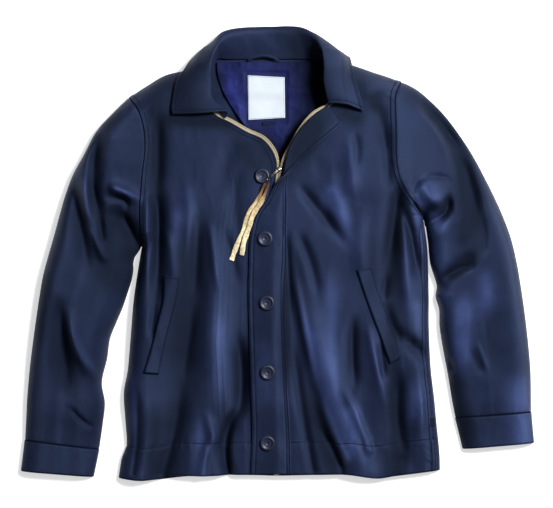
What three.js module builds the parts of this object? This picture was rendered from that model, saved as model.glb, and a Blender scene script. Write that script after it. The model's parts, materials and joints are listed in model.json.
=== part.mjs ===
// Utility jacket, laid on its back: a navy cotton shell with a zip under a buttoned placket.
// Millimetres. +X is towards the wearer's left sleeve, +Y towards the collar, +Z up.
// The origin is under the middle of the garment, on the surface that it lies on.
// Right and left are the wearer's, so the right sleeve is on the -X side.
import * as THREE from 'three';

// Cloth
const SHELL_THICK = 1.5;
const TRIM_THICK = 1.6;
const PLACKET_THICK = 1.8;
const LABEL_THICK = 0.6;
const SEAM_GAP = 0.35;
const TRIM_CLEAR = 1.4;

// Rolled edges where the upper layer turns under to the lower one
const FOLD_HEIGHT = 3.5;
const EDGE_RISE = 34;
const EDGE_SPREAD = 10;
const RIGHT_SIDE_UNDER = 20;
const LEFT_SIDE_OVER = 12;

// Room under the back neck for the collar's fall
const FALL_ROOM = 2.6;
const FALL_ROOM_Y = 262;
const FALL_ROOM_X = 168;
const FALL_ROOM_FADE = 20;

// Metal and buttons
const BUTTON_RADIUS = 13.3;
const BUTTON_HEIGHT = 4;
const PULL_LENGTH = 24;
const PULL_WIDTH = 5.6;
const PULL_THICK = 1.2;
const LACE_WIDTH = 8.4;
const LACE_THICK = 2.2;

const NAVY = 0x252c4a;
const LINING_BLUE = 0x2d2f68;
const BRASS = 0xc2b277;
const STEEL = 0xb9b6ad;
const LACE_TAN = 0xdccba0;
const BUTTON_NAVY = 0x20263c;
const LABEL_WHITE = 0xe9ecee;

function table(columns, ...rows) {
  const names = columns.split(' ');
  return rows.map((row) => Object.fromEntries(names.map((name, i) => [name, row[i]])));
}

// Height of the upper layer along the garment
const LOFT = table('y height',
  [-390, 15], [-320, 18], [-240, 26], [-100, 34], [100, 36], [250, 33], [340, 30]);

// Outer edge of the garment, neck to cuff
const SHOULDER_RIGHT = table('x y', [-105, 336], [-149, 319], [-191, 309], [-222, 291]);
const SHOULDER_LEFT = table('x y', [99, 336], [128, 326], [160, 315], [188, 306]);

// Sleeve rungs, from the armhole to the end of the sleeve
const SLEEVE_RIGHT = table('outX outY inX inY',
  [-254, 270, -232, 15], [-281, 244, -236, 9], [-310, 212, -240, 3], [-332, 171, -244, -4],
  [-350, 138, -246, -14], [-363, 103, -246, -25], [-372, 72, -249, -42], [-382, 35, -256, -64],
  [-392, 0, -264, -88], [-401, -34, -275, -114], [-408, -75, -286, -142], [-416, -130, -291, -176],
  [-423, -185, -300, -216], [-428, -240, -295, -252], [-430, -280, -299, -290],
  [-432, -314, -305, -330]);
const CUFF_RIGHT = table('outX outY inX inY',
  [-432, -314.4, -305, -330.4], [-435, -341, -310, -354], [-438.5, -368, -315, -378]);
const SLEEVE_LEFT = table('outX outY inX inY',
  [212, 297, 249, 66], [238, 284, 257, 58], [264, 262, 259, 47], [288, 237, 260, 34],
  [312, 205, 261, 19], [334, 171, 262, 2], [354, 134, 264, -15], [372, 98, 269, -34],
  [387, 64, 272, -52], [400, 28, 270, -70], [410, -15, 276, -92], [416, -50, 277, -122],
  [423, -98, 283, -160], [429, -150, 292, -208], [433, -200, 298, -245], [434, -266, 304, -276]);
const CUFF_LEFT = table('outX outY inX inY',
  [434, -266.4, 304, -276.4], [436, -293, 311, -304], [438.5, -320, 317, -330]);

// Sides of the body, armpit to hem
const SIDE_RIGHT = table('x y',
  [-232, 15], [-237, -14], [-246, -75], [-251, -135], [-256, -194], [-263, -235],
  [-260, -285], [-258, -323], [-266, -348], [-271, -380]);
const SIDE_LEFT = table('x y',
  [249, 66], [256, 15], [258, -30], [259, -75], [259, -120], [262, -190], [268, -242],
  [272, -285], [277, -335], [278, -366]);

// Armhole seams, shoulder to armpit
const ARMHOLE_RIGHT = table('x y',
  [-254, 270], [-237, 248], [-227, 215], [-225, 180], [-229, 145], [-232, 110], [-234, 75],
  [-233, 45], [-232, 15]);
const ARMHOLE_LEFT = table('x y',
  [212, 297], [201, 275], [200, 245], [201, 210], [201, 178], [204, 147], [213, 118],
  [229, 93], [249, 66]);

// Neckline and front edge of each front: the neck half ends level with the armpit
const NECK_EDGE_RIGHT = table('x y',
  [-105, 336], [-119, 309], [-125, 282], [-121, 258], [-104, 238], [-80, 226], [-52, 210],
  [-26, 198], [-10, 180], [-2, 160], [-2, 140]);
const FRONT_EDGE_RIGHT = table('x y',
  [-2, 140], [-8, 90], [-13, 20], [-16, -60], [-16, -110], [-12, -200], [-9, -290], [-6, -375]);
const NECK_EDGE_LEFT = table('x y',
  [99, 336], [104, 310], [105, 284], [99, 263], [86, 252], [64, 240], [45, 219], [31, 196],
  [19, 174], [10, 156], [6, 138]);
const FRONT_EDGE_LEFT = table('x y',
  [6, 138], [0, 90], [-5, 20], [-8, -60], [-8, -110], [-4, -200], [-1, -290], [2, -375]);

// Hem of each front and of the back, from the wearer's right to the left
const HEM_RIGHT = table('x y',
  [-271, -380], [-234, -384], [-200, -381], [-180, -376], [-120, -376], [-64, -374], [-6, -375]);
const HEM_LEFT = table('x y',
  [2, -375], [60, -374], [120, -374], [169, -380], [200, -376], [240, -371], [278, -366]);
const HEM_BACK = table('x y',
  [-271, -380], [-225, -384.5], [-160, -378], [-60, -372], [60, -371], [160, -375], [278, -366]);

// Largest folds: a bend through three points, its half width and its lift, negative for a trough.
// start and end say how much of the lift is left at the two ends.
const FOLDS = table('x0 y0 x1 y1 x2 y2 wide lift start end',
  [-222, 125, -222, 30, -226, -80, 12, 5, 0, 0],
  [-207, 130, -202, 20, -215, -140, 13, -11, 0, 0],
  [-205, 250, -204, 170, -207, 100, 14, -6, 0, 0.5],
  [-133, 100, -140, -75, -196, -372, 26, -8, 0, 1],
  [-118, 70, -108, -75, -112, -300, 24, 6, 0, 0],
  [-68, -120, -62, -220, -66, -290, 13, -8, 0, 0],
  [-60, -262, -92, -312, -84, -376, 11, -8, 0, 1],
  [-228, -205, -222, -290, -232, -370, 22, 5, 0, 1],
  [-290, 225, -312, 118, -290, 15, 12, -12, 0, 0],
  [-314, 170, -324, 95, -286, -20, 12, 6, 0, 0],
  [-351, 135, -340, 50, -316, -50, 14, -6, 0, 0],
  [-376, -60, -370, -143, -352, -250, 22, -8, 0, 0],
  [-353, -80, -346, -143, -303, -214, 13, 5, 0, 0],
  [-288, 84, -264, 56, -240, 24, 16, -12, 0, 0.6],
  [-291, 122, -265, 110, -240, 98, 11, 7, 0, 0.6],
  [265, 258, 318, 145, 336, 0, 17, -13, 0.2, 0],
  [234, 130, 258, 112, 280, 66, 18, 9, 0, 0],
  [290, 108, 284, 74, 256, 55, 10, -9, 0, 0.3],
  [338, 8, 310, -20, 268, -48, 12, -7, 0, 0.5],
  [378, -75, 361, -143, 378, -211, 22, -5, 0, 0],
  [206, 140, 196, 50, 180, -85, 15, -11, 0, 0],
  [211, 100, 232, 10, 243, -55, 12, -8, 0, 0],
  [222, 72, 216, -7, 226, -126, 11, 6, 0, 0],
  [192, -122, 222, -148, 247, -170, 11, -8, 0, 0.5],
  [34, 30, 32, -109, 95, -352, 18, -7, 0, 1],
  [34, -30, 80, -195, 148, -366, 22, 7, 0, 1],
  [130, -90, 127, -164, 133, -232, 12, -6, 0, 0],
  [156, -115, 168, -190, 188, -275, 14, 5, 0, 0],
  [208, -185, 203, -260, 212, -345, 16, -9, 0, 0.5],
  [98, 214, 120, 150, 112, 70, 34, 4, 0, 0],
  [165, 268, 175, 220, 180, 165, 14, -5, 0, 0]);

// Placket: its stitched line, the way out from it, its width, and two bends that lift it or fold
// it back, each an angle and a distance from the stitched line
const PLACKET = table('x y heading width bend1 at1 bend2 at2',
  [97, 236, 124, 68, 183, 24, 0, 75],
  [78, 224, 132, 68, 183, 24, 0, 75],
  [60, 206, 140, 68, 183, 24, 0, 75],
  [42, 180, 150, 68, 183, 24, 0, 73],
  [28, 158, 162, 68, 180, 17, -120, 58],
  [19, 140, 174, 68, 168, 14, -168, 44],
  [16, 120, 180, 67, 138, 15, -162, 41],
  [16, 95, 180, 66, 98, 17, -124, 42],
  [16, 66, 180, 66, 68, 19, -98, 43],
  [15, 30, 180, 65, 30, 20, -44, 43],
  [14, -8, 180, 64, 5, 20, -5, 44],
  [12, -60, 180, 61, 0, 20, 0, 44],
  [13, -125, 180, 61, 0, 20, 0, 44],
  [17, -228, 180, 62, 0, 20, 0, 44],
  [21, -296, 180, 64, 0, 20, 0, 44],
  [23, -372, 180, 69, 0, 20, 0, 44]);

// Collar sections from the right front end round the back to the left one: the neck seam, the
// top of the roll, the outside of its turn and the free edge. tuck is 1 where the fall lies
// under the back.
const COLLAR = table('seamX seamY seamZ rollX rollY rollZ turnX turnY turnZ edgeX edgeY edgeZ tuck',
  [-88, 233, 36, -86, 244, 42, -132, 241, 45, -178, 240, 38, 0],
  [-117, 260, 36, -111, 266, 46, -144, 266, 46, -179, 256, 38, 0],
  [-121, 285, 34, -113, 295, 48, -140, 297, 46, -171, 295, 36, 0],
  [-117, 306, 31, -113, 319, 49, -135, 325, 42, -158, 317, 27, 0],
  [-110, 323, 25, -110, 338, 46, -130, 346, 28, -148, 334, 9, 0.2],
  [-107, 332, 18, -106, 347, 42, -124, 355, 22, -141, 336, 1, 0.7],
  [-101, 337, 11, -101, 357, 36, -113, 362, 17, -126, 312, 1, 1],
  [-84, 336, 7, -88, 371, 24, -93, 377, 12, -93, 303, 1, 1],
  [-47, 336, 6, -54, 378, 17, -55, 382.5, 9, -50, 300, 1, 1],
  [-1, 336, 6, -1, 379.5, 16, -1, 384, 9, -1, 299, 1, 1],
  [45, 336, 6, 38, 379, 18, 38, 383.5, 10, 45, 302, 1, 1],
  [72, 336, 8, 64, 367, 30, 66, 374, 14, 82, 309, 1, 1],
  [90, 337, 12, 72, 356, 42, 90, 360, 22, 110, 316, 1, 1],
  [97, 331, 18, 75, 350, 45, 99, 353, 26, 121, 337, 1, 0.7],
  [100, 322, 25, 77, 342, 47, 105, 344, 32, 125, 334, 9, 0.2],
  [104, 302, 31, 79, 319, 49, 108, 318, 42, 129, 306, 31, 0],
  [104, 283, 34, 79, 295, 48, 110, 293, 45, 136, 283, 37, 0],
  [97, 264, 36, 83, 275, 46, 114, 270, 45, 142, 262, 38, 0],
  [88, 254, 37, 89, 258, 43, 118, 256, 45, 146, 245, 38, 0]);

// Pocket welts: the two ends of each cross line, top to bottom
const WELT_RIGHT = table('x0 y0 x1 y1',
  [-191, -34, -167, -38], [-193, -72, -172, -75], [-201, -106, -181, -110],
  [-209, -138, -189, -140], [-218, -170, -196, -172], [-227, -199, -202, -201]);
const WELT_LEFT = table('x0 y0 x1 y1',
  [135, -24, 159, -21], [147, -62, 170, -60], [162, -104, 184, -98], [178, -146, 198, -138],
  [191, -183, 209, -173]);

const BUTTONS = table('x y', [-26, 135], [-21, 29], [-18, -80], [-17, -198], [-17, -319]);
const SLIDER = { x: 2, y: 146, heading: 221 };

function mix(a, b, t) {
  return a + (b - a) * t;
}

function soften(t) {
  const s = Math.min(Math.max(t, 0), 1);
  return s * s * (3 - 2 * s);
}

// Spaces samples more closely towards both ends
function easeEnds(t) {
  return t - 0.6 * Math.sin(2 * Math.PI * t) / (2 * Math.PI);
}

// A smooth line through every row of a table, t from 0 to 1
function along(rows, t) {
  const last = rows.length - 1;
  const place = Math.min(Math.max(t, 0), 1) * last;
  const i = Math.min(Math.floor(place), last - 1);
  const f = place - i;
  const [p, q, r, s] = [rows[Math.max(i - 1, 0)], rows[i], rows[i + 1], rows[Math.min(i + 2, last)]];
  const result = {};
  for (const key of Object.keys(q)) {
    const bend = 2 * p[key] - 5 * q[key] + 4 * r[key] - s[key];
    const twist = 3 * (q[key] - r[key]) + s[key] - p[key];
    result[key] = q[key] + 0.5 * f * (r[key] - p[key] + f * (bend + f * twist));
  }
  return result;
}

function edgeOf(rows, xKey, yKey) {
  return rows.map((row) => ({ x: row[xKey], y: row[yKey] }));
}

// The outline as short straight steps; side says on which hand of the direction the cloth lies
function outlineSteps(rows, side) {
  const count = (rows.length - 1) * 8;
  const points = Array.from({ length: count + 1 }, (_, i) => along(rows, i / count));
  return points.slice(1).map((to, i) => {
    const from = points[i];
    const length = Math.hypot(to.x - from.x, to.y - from.y);
    const dirX = (to.x - from.x) / length;
    const dirY = (to.y - from.y) / length;
    return { from, length, dirX, dirY, inX: -dirY * side, inY: dirX * side };
  });
}

const OUTLINE = [
  ...outlineSteps([...SHOULDER_RIGHT, ...edgeOf([...SLEEVE_RIGHT, ...CUFF_RIGHT.slice(1)], 'outX', 'outY')], 1),
  ...outlineSteps(edgeOf([...SLEEVE_RIGHT, ...CUFF_RIGHT.slice(1)], 'inX', 'inY'), -1),
  ...outlineSteps(SIDE_RIGHT, 1),
  ...outlineSteps([...SHOULDER_LEFT, ...edgeOf([...SLEEVE_LEFT, ...CUFF_LEFT.slice(1)], 'outX', 'outY')], -1),
  ...outlineSteps(edgeOf([...SLEEVE_LEFT, ...CUFF_LEFT.slice(1)], 'inX', 'inY'), 1),
  ...outlineSteps(SIDE_LEFT, -1),
];

// Distance in from the outline, and the direction away from it. Where two steps meet at the
// armpit, a point is inside if it is inside either of them.
function fromOutline(x, y) {
  let best = { distance: Infinity, depth: 0, x: 0, y: 1 };
  for (const step of OUTLINE) {
    const run = (x - step.from.x) * step.dirX + (y - step.from.y) * step.dirY;
    const held = Math.min(Math.max(run, 0), step.length);
    const dx = x - step.from.x - step.dirX * held;
    const dy = y - step.from.y - step.dirY * held;
    const distance = Math.hypot(dx, dy);
    const tied = Math.abs(distance - best.distance) < 1e-6;
    if (distance < best.distance || (tied && best.depth === 0)) {
      const inside = dx * step.inX + dy * step.inY > 0;
      const clear = inside && distance > 0.01;
      best = {
        distance,
        depth: inside ? distance : 0,
        x: clear ? dx / distance : step.inX,
        y: clear ? dy / distance : step.inY,
      };
    }
  }
  return best;
}

function foldPath(fold) {
  const steps = 8;
  const midX = 2 * fold.x1 - (fold.x0 + fold.x2) / 2;
  const midY = 2 * fold.y1 - (fold.y0 + fold.y2) / 2;
  return Array.from({ length: steps + 1 }, (_, i) => {
    const t = i / steps;
    const [a, b, c] = [(1 - t) * (1 - t), 2 * t * (1 - t), t * t];
    return { x: a * fold.x0 + b * midX + c * fold.x2, y: a * fold.y0 + b * midY + c * fold.y2 };
  });
}

const FOLD_LINES = FOLDS.map((fold) => ({ ...fold, path: foldPath(fold) }));
const FOLD_FADE = 0.35;

function foldLift(fold, x, y) {
  let nearest = Infinity;
  let place = 0;
  fold.path.slice(1).forEach((to, i) => {
    const from = fold.path[i];
    const [dx, dy] = [to.x - from.x, to.y - from.y];
    const run = ((x - from.x) * dx + (y - from.y) * dy) / (dx * dx + dy * dy);
    const held = Math.min(Math.max(run, 0), 1);
    const distance = Math.hypot(x - from.x - dx * held, y - from.y - dy * held);
    if (distance < nearest) {
      nearest = distance;
      place = (i + held) / (fold.path.length - 1);
    }
  });
  const first = mix(fold.start, 1, soften(place / FOLD_FADE));
  const second = mix(fold.end, 1, soften((1 - place) / FOLD_FADE));
  return fold.lift * first * second * Math.exp(-((nearest / fold.wide) ** 2));
}

function loft(x, y) {
  const next = LOFT.findIndex((row) => row.y > y);
  const i = next < 0 ? LOFT.length - 1 : Math.max(next, 1);
  const [from, to] = [LOFT[i - 1], LOFT[i]];
  const base = mix(from.height, to.height, soften((y - from.y) / (to.y - from.y)));
  return FOLD_LINES.reduce((height, fold) => height + foldLift(fold, x, y), base);
}

function fallRoom(x, y) {
  const byY = soften((y - FALL_ROOM_Y) / FALL_ROOM_FADE);
  return FALL_ROOM * byY * soften((FALL_ROOM_X - Math.abs(x)) / FALL_ROOM_FADE);
}

function arc(t) {
  return Math.sqrt(Math.max(0, 1 - (1 - Math.min(t, 1)) ** 2));
}

// A point of the upper layer's outer face, with the direction out of the cloth
function upper(x, y) {
  const edge = fromOutline(x, y);
  const t = Math.min(edge.depth / EDGE_RISE, 1);
  const rise = arc(t);
  const height = loft(x, y) - FOLD_HEIGHT;
  const slopeX = (loft(x + 1, y) - loft(x - 1, y)) / 2;
  const slopeY = (loft(x, y + 1) - loft(x, y - 1)) / 2;
  const lean = height * (1 - t) / EDGE_RISE;
  const out = new THREE.Vector3(
    -lean * edge.x - rise * rise * slopeX,
    -lean * edge.y - rise * rise * slopeY,
    rise,
  );
  const z = FOLD_HEIGHT + fallRoom(x, y) + height * rise;
  return { point: new THREE.Vector3(x, y, z), out: out.normalize() };
}

// The same for the lower layer, whose outer face is down
function lower(x, y) {
  const edge = fromOutline(x, y);
  const t = Math.min(edge.depth / FOLD_HEIGHT, 1);
  const out = new THREE.Vector3(-(1 - t) * edge.x, -(1 - t) * edge.y, -arc(t));
  const z = (FOLD_HEIGHT - SEAM_GAP) * (1 - arc(t)) + fallRoom(x, y);
  return { point: new THREE.Vector3(x, y, z), out: out.normalize() };
}

function wallOf(spot, thick) {
  return [spot.point, spot.point.clone().addScaledVector(spot.out, -thick)];
}

function raised(x, y, from, to) {
  const spot = upper(x, y);
  const outer = spot.point.clone().addScaledVector(spot.out, to);
  return [outer, spot.point.clone().addScaledVector(spot.out, from)];
}

// A closed wall between two grids of points: at(u, v) gives the outer and the inner one
function wall(across, down, ring, at) {
  const columns = ring ? across : across + 1;
  const rows = down + 1;
  const layers = [[], []];
  for (let j = 0; j < rows; j += 1) {
    for (let i = 0; i < columns; i += 1) {
      const pair = at(i / across, j / down);
      layers[0].push(pair[0]);
      layers[1].push(pair[1]);
    }
  }
  const id = (layer, i, j) => layer * columns * rows + j * columns + (i % columns);
  const index = [];
  const quad = (a, b, c, d) => index.push(a, b, c, a, c, d);
  for (let j = 0; j < down; j += 1) {
    for (let i = 0; i < across; i += 1) {
      quad(id(0, i, j), id(0, i + 1, j), id(0, i + 1, j + 1), id(0, i, j + 1));
      index.push(id(1, i, j), id(1, i + 1, j + 1), id(1, i + 1, j));
      index.push(id(1, i, j), id(1, i, j + 1), id(1, i + 1, j + 1));
    }
    if (!ring) {
      quad(id(0, 0, j), id(0, 0, j + 1), id(1, 0, j + 1), id(1, 0, j));
      quad(id(0, across, j + 1), id(0, across, j), id(1, across, j), id(1, across, j + 1));
    }
  }
  for (let i = 0; i < across; i += 1) {
    quad(id(0, i + 1, 0), id(0, i, 0), id(1, i, 0), id(1, i + 1, 0));
    quad(id(0, i, down), id(0, i + 1, down), id(1, i + 1, down), id(1, i, down));
  }
  const geometry = new THREE.BufferGeometry();
  const points = [...layers[0], ...layers[1]];
  const numbers = points.flatMap((point) => [point.x, point.y, point.z]);
  geometry.setAttribute('position', new THREE.Float32BufferAttribute(numbers, 3));
  geometry.setIndex(facingOut(points, index));
  geometry.computeVertexNormals();
  return geometry;
}

function facingOut(points, index) {
  let volume = 0;
  for (let i = 0; i < index.length; i += 3) {
    const [a, b, c] = [points[index[i]], points[index[i + 1]], points[index[i + 2]]];
    volume += a.dot(b.clone().cross(c));
  }
  if (volume > 0) return index;
  const turned = [];
  for (let i = 0; i < index.length; i += 3) turned.push(index[i], index[i + 2], index[i + 1]);
  return turned;
}

// A sheet given by its middle surface: half the thickness to each side
function sheetAround(across, down, thick, middle) {
  const step = 1e-3;
  return wall(across, down, false, (u, v) => {
    const point = middle(u, v);
    const alongU = middle(Math.min(u + step, 1), v).sub(middle(Math.max(u - step, 0), v));
    const alongV = middle(u, Math.min(v + step, 1)).sub(middle(u, Math.max(v - step, 0)));
    const out = alongU.cross(alongV).normalize().multiplyScalar(thick / 2);
    return [point.clone().add(out), point.clone().sub(out)];
  });
}

const garment = new THREE.Group();

function add(name, geometry, color, roughness = 0.8, metalness = 0, parent = garment) {
  const mesh = new THREE.Mesh(geometry, new THREE.MeshStandardMaterial({ color, roughness, metalness }));
  mesh.name = name;
  parent.add(mesh);
  return mesh;
}

// Blends four boundary lines into a patch: left and right by v, top and bottom by u
function patch(left, right, top, bottom, u, v) {
  const [l, r, t, b] = [left(v), right(v), top(u), bottom(u)];
  const [tl, tr, bl, br] = [top(0), top(1), bottom(0), bottom(1)];
  const at = (key) => mix(l[key], r[key], u) + mix(t[key], b[key], v)
    - mix(mix(tl[key], tr[key], u), mix(bl[key], br[key], u), v);
  return { x: at('x'), y: at('y') };
}

// A line measured by its length, so that half way is half its length
function evenly(rows) {
  const count = 120;
  const points = Array.from({ length: count + 1 }, (_, i) => along(rows, i / count));
  const lengths = [0];
  points.slice(1).forEach((to, i) => {
    lengths.push(lengths[i] + Math.hypot(to.x - points[i].x, to.y - points[i].y));
  });
  return (share) => {
    const wanted = Math.min(Math.max(share, 0), 1) * lengths[count];
    const i = Math.max(lengths.findIndex((length) => length >= wanted), 1);
    const t = (wanted - lengths[i - 1]) / (lengths[i] - lengths[i - 1]);
    return { x: mix(points[i - 1].x, points[i].x, t), y: mix(points[i - 1].y, points[i].y, t) };
  };
}

function backwards(line) {
  return (share) => line(1 - share);
}

// Body edges run down the armhole or neck in the first half and down to the hem in the second
function twoPart(first, second) {
  return (v) => (v <= 0.5 ? along(first, easeEnds(v * 2)) : along(second, easeEnds(v * 2 - 1)));
}

// Cloth laid out between two edges: a point so far in from the first one, at share v down it
function layOut(side, far, top, bottom) {
  const width = (v) => Math.hypot(far(v).x - side(v).x, far(v).y - side(v).y);
  const at = (inward, v) => patch(side, far, top, bottom, Math.min(inward / width(v), 1), v);
  return { width, at };
}

const sideRight = twoPart(ARMHOLE_RIGHT, SIDE_RIGHT);
const sideLeft = twoPart(ARMHOLE_LEFT, SIDE_LEFT);
const edgeRight = twoPart(NECK_EDGE_RIGHT, FRONT_EDGE_RIGHT);
const edgeLeft = twoPart(NECK_EDGE_LEFT, FRONT_EDGE_LEFT);
const shoulderRight = backwards(evenly([...SHOULDER_RIGHT, ARMHOLE_RIGHT[0]]));
const shoulderLeft = backwards(evenly([...SHOULDER_LEFT, ARMHOLE_LEFT[0]]));

// The back's upper edge: left shoulder, back neck, right shoulder
const NECK_FROM = 0.27;
const NECK_TO = 0.68;
function backTop(share) {
  if (share < NECK_FROM) return shoulderLeft(share / NECK_FROM);
  if (share > NECK_TO) return shoulderRight((1 - share) / (1 - NECK_TO));
  const t = (share - NECK_FROM) / (NECK_TO - NECK_FROM);
  return { x: mix(SHOULDER_LEFT[0].x, SHOULDER_RIGHT[0].x, t), y: SHOULDER_LEFT[0].y };
}

const layRight = layOut(sideRight, edgeRight, shoulderRight, evenly(HEM_RIGHT));
const layLeft = layOut(sideLeft, edgeLeft, shoulderLeft, backwards(evenly(HEM_LEFT)));
const layBack = layOut(sideLeft, sideRight, backTop, backwards(evenly(HEM_BACK)));

// Body grids: the rows match the sleeves' rings, so the armhole seams follow each other
const BODY_ROWS = 28;
const FRONT_COLUMNS = 15;
const COLUMN_EASE = 1.12;
const BACK_COLUMNS = 11;
const RING_HALF = BODY_ROWS / 2;
const ROLL_START = 0.09;

// Spread of the rolled edge at a row, nothing above the armpit
function rollAt(v) {
  const roll = soften((v - 0.5) / ROLL_START);
  return { roll, spread: Math.max(EDGE_SPREAD * roll, 0.01) };
}

// Distance in from the rolled edge, from the distance along the cloth
function inFromEdge(along, spread) {
  const w = Math.abs(along);
  return w < spread ? w * w / (2 * spread) : w - spread / 2;
}

add('front_right', wall(FRONT_COLUMNS, BODY_ROWS, false, (u, v) => {
  const { roll, spread } = rollAt(v);
  const start = -RIGHT_SIDE_UNDER * roll;
  const w = start + (layRight.width(v) + spread / 2 - start) * u ** COLUMN_EASE;
  const inward = inFromEdge(w, spread);
  if (w < 0) {
    const place = layBack.at(layBack.width(v) - inward, v);
    return wallOf(lower(place.x, place.y), SHELL_THICK);
  }
  const place = layRight.at(inward, v);
  return wallOf(upper(place.x, place.y), SHELL_THICK);
}), NAVY);

add('front_left', wall(FRONT_COLUMNS, BODY_ROWS, false, (u, v) => {
  const { roll, spread } = rollAt(v);
  const start = (LEFT_SIDE_OVER + SEAM_GAP) * roll;
  const w = start + (layLeft.width(v) + spread / 2 - start) * u ** COLUMN_EASE;
  const place = layLeft.at(inFromEdge(w, spread), v);
  return wallOf(upper(place.x, place.y), SHELL_THICK);
}), NAVY);

add('back_panel', wall(BACK_COLUMNS, BODY_ROWS, false, (u, v) => {
  const { roll, spread } = rollAt(v);
  const start = -LEFT_SIDE_OVER * roll;
  const end = layBack.width(v) + (1 + roll) * spread / 2 - (RIGHT_SIDE_UNDER + SEAM_GAP) * roll;
  const w = start + (end - start) * easeEnds(u);
  const inward = inFromEdge(w, spread);
  if (w < 0) {
    const place = layLeft.at(inward, v);
    return wallOf(upper(place.x, place.y), SHELL_THICK);
  }
  const place = layBack.at(inward, v);
  return wallOf(lower(place.x, place.y), SHELL_THICK);
}), NAVY);

// Sleeves: rings round the arm, each an upper and a lower half, that start at the armhole
const SLEEVE_ROWS = 20;
const CUFF_ROWS = 2;
const ARMHOLE_REACH = 0.36;

function ringPlace(rows, armhole, share, t) {
  const rung = along(rows, t);
  const start = along(armhole, share);
  const hold = Math.max(0, 1 - t / ARMHOLE_REACH) ** 2;
  const offX = hold * (start.x - mix(rows[0].outX, rows[0].inX, share));
  const offY = hold * (start.y - mix(rows[0].outY, rows[0].inY, share));
  return { x: mix(rung.outX, rung.inX, share) + offX, y: mix(rung.outY, rung.inY, share) + offY };
}

function sleeve(rows, armhole, down, clear) {
  return wall(2 * RING_HALF, down, true, (u, v) => {
    const k = Math.round(u * 2 * RING_HALF);
    const onTop = k <= RING_HALF;
    const share = easeEnds((onTop ? k : 2 * RING_HALF - k) / RING_HALF);
    const place = ringPlace(rows, armhole, share, v);
    const x = place.x + clear * (1 - v);
    return wallOf(onTop ? upper(x, place.y) : lower(x, place.y), SHELL_THICK);
  });
}

function firstRung(rows) {
  return [{ x: rows[0].outX, y: rows[0].outY }, { x: rows[0].inX, y: rows[0].inY }];
}

add('sleeve_right', sleeve(SLEEVE_RIGHT, ARMHOLE_RIGHT, SLEEVE_ROWS, -SEAM_GAP), NAVY);
add('sleeve_left', sleeve(SLEEVE_LEFT, ARMHOLE_LEFT, SLEEVE_ROWS, SEAM_GAP), NAVY);
add('cuff_right', sleeve(CUFF_RIGHT, firstRung(CUFF_RIGHT), CUFF_ROWS, 0), NAVY);
add('cuff_left', sleeve(CUFF_LEFT, firstRung(CUFF_LEFT), CUFF_ROWS, 0), NAVY);

// Collar: stand and fall in one sheet, in bends through four points of each section
const COLLAR_THICK = 1.7;
const COLLAR_CLEAR = 2;
const TUCKED_Z = 0.92;

function collarPoint(u, v) {
  const row = along(COLLAR, v);
  const section = ['seam', 'roll', 'turn', 'edge'].map((name) => ({
    x: row[`${name}X`], y: row[`${name}Y`], z: row[`${name}Z`],
  }));
  const point = along(section, u);
  const past = Math.max(0, u * 3 - 2);
  const tucked = mix(row.turnZ, TUCKED_Z, 1 - (1 - past) ** 6);
  const hidden = past > 0 ? soften(row.tuck) : 0;
  const z = mix(point.z, tucked, hidden);
  const floor = upper(point.x, point.y).point.z + COLLAR_CLEAR + COLLAR_THICK / 2;
  return new THREE.Vector3(point.x, point.y, row.tuck > 0.1 ? z : Math.max(z, floor));
}

add('collar', sheetAround(11, 26, COLLAR_THICK, collarPoint), NAVY);

// Placket: stitched down along one edge, with two bends across it
const BEND_RUN = 13;
const PLACKET_CLEAR = 1.5;
const SECTION_STEPS = 24;

function placketSpot(share, v) {
  const row = along(PLACKET, v);
  const step = row.width * share / SECTION_STEPS;
  let across = 0;
  let up = 0;
  for (let i = 0; i < SECTION_STEPS; i += 1) {
    const s = step * (i + 0.5);
    const first = row.bend1 * soften((s - row.at1) / BEND_RUN + 0.5);
    const second = row.bend2 * soften((s - row.at2) / BEND_RUN + 0.5);
    const turn = THREE.MathUtils.degToRad(first + second);
    across += step * Math.cos(turn);
    up += step * Math.sin(turn);
  }
  const heading = THREE.MathUtils.degToRad(row.heading);
  return { x: row.x + across * Math.cos(heading), y: row.y + across * Math.sin(heading), up };
}

function placketPoint(share, v) {
  const spot = placketSpot(share, v);
  const z = upper(spot.x, spot.y).point.z + PLACKET_CLEAR + PLACKET_THICK / 2 + spot.up;
  return new THREE.Vector3(spot.x, spot.y, z);
}

add('placket', sheetAround(12, 32, PLACKET_THICK, placketPoint), NAVY);

// Unit direction out of the cloth, across an edge line
function outFrom(line, v, hand) {
  const [before, after] = [line(Math.max(v - 0.004, 0)), line(Math.min(v + 0.004, 1))];
  const length = Math.hypot(after.x - before.x, after.y - before.y);
  return { x: hand * -(after.y - before.y) / length, y: hand * (after.x - before.x) / length };
}

// Zip tapes: wide where the neck is open, half the gap each below the slider
const TAPE_OPEN = 6;
const TAPE_CLOSED = 3.3;
const TAPE_THICK = 1.3;
const TAPE_FROM_ROW = 4;

function tape(line, hand) {
  return sheetAround(1, BODY_ROWS - TAPE_FROM_ROW, TAPE_THICK, (u, v) => {
    const share = mix(TAPE_FROM_ROW / BODY_ROWS, 1, v);
    const at = line(share);
    const out = outFrom(line, share, hand);
    const width = mix(TAPE_OPEN, TAPE_CLOSED, soften((share - 0.35) / 0.1));
    const reach = SEAM_GAP + width * u;
    const z = upper(at.x, at.y).point.z - TAPE_THICK / 2;
    return new THREE.Vector3(at.x + out.x * reach, at.y + out.y * reach, z);
  });
}

add('zip_tape_right', tape(edgeRight, 1), BRASS, 0.4, 0.7);
add('zip_tape_left', tape(edgeLeft, -1), BRASS, 0.4, 0.7);

// Facings: the inner bands that hang from the neck edges into the hollow
const FACING_DEPTH = 16;
const FACING_REACH = 6.5;
const FACING_HELD = 2.5;
const FACING_FROM_ROW = 5;
const FACING_TO_ROW = 11;

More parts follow.
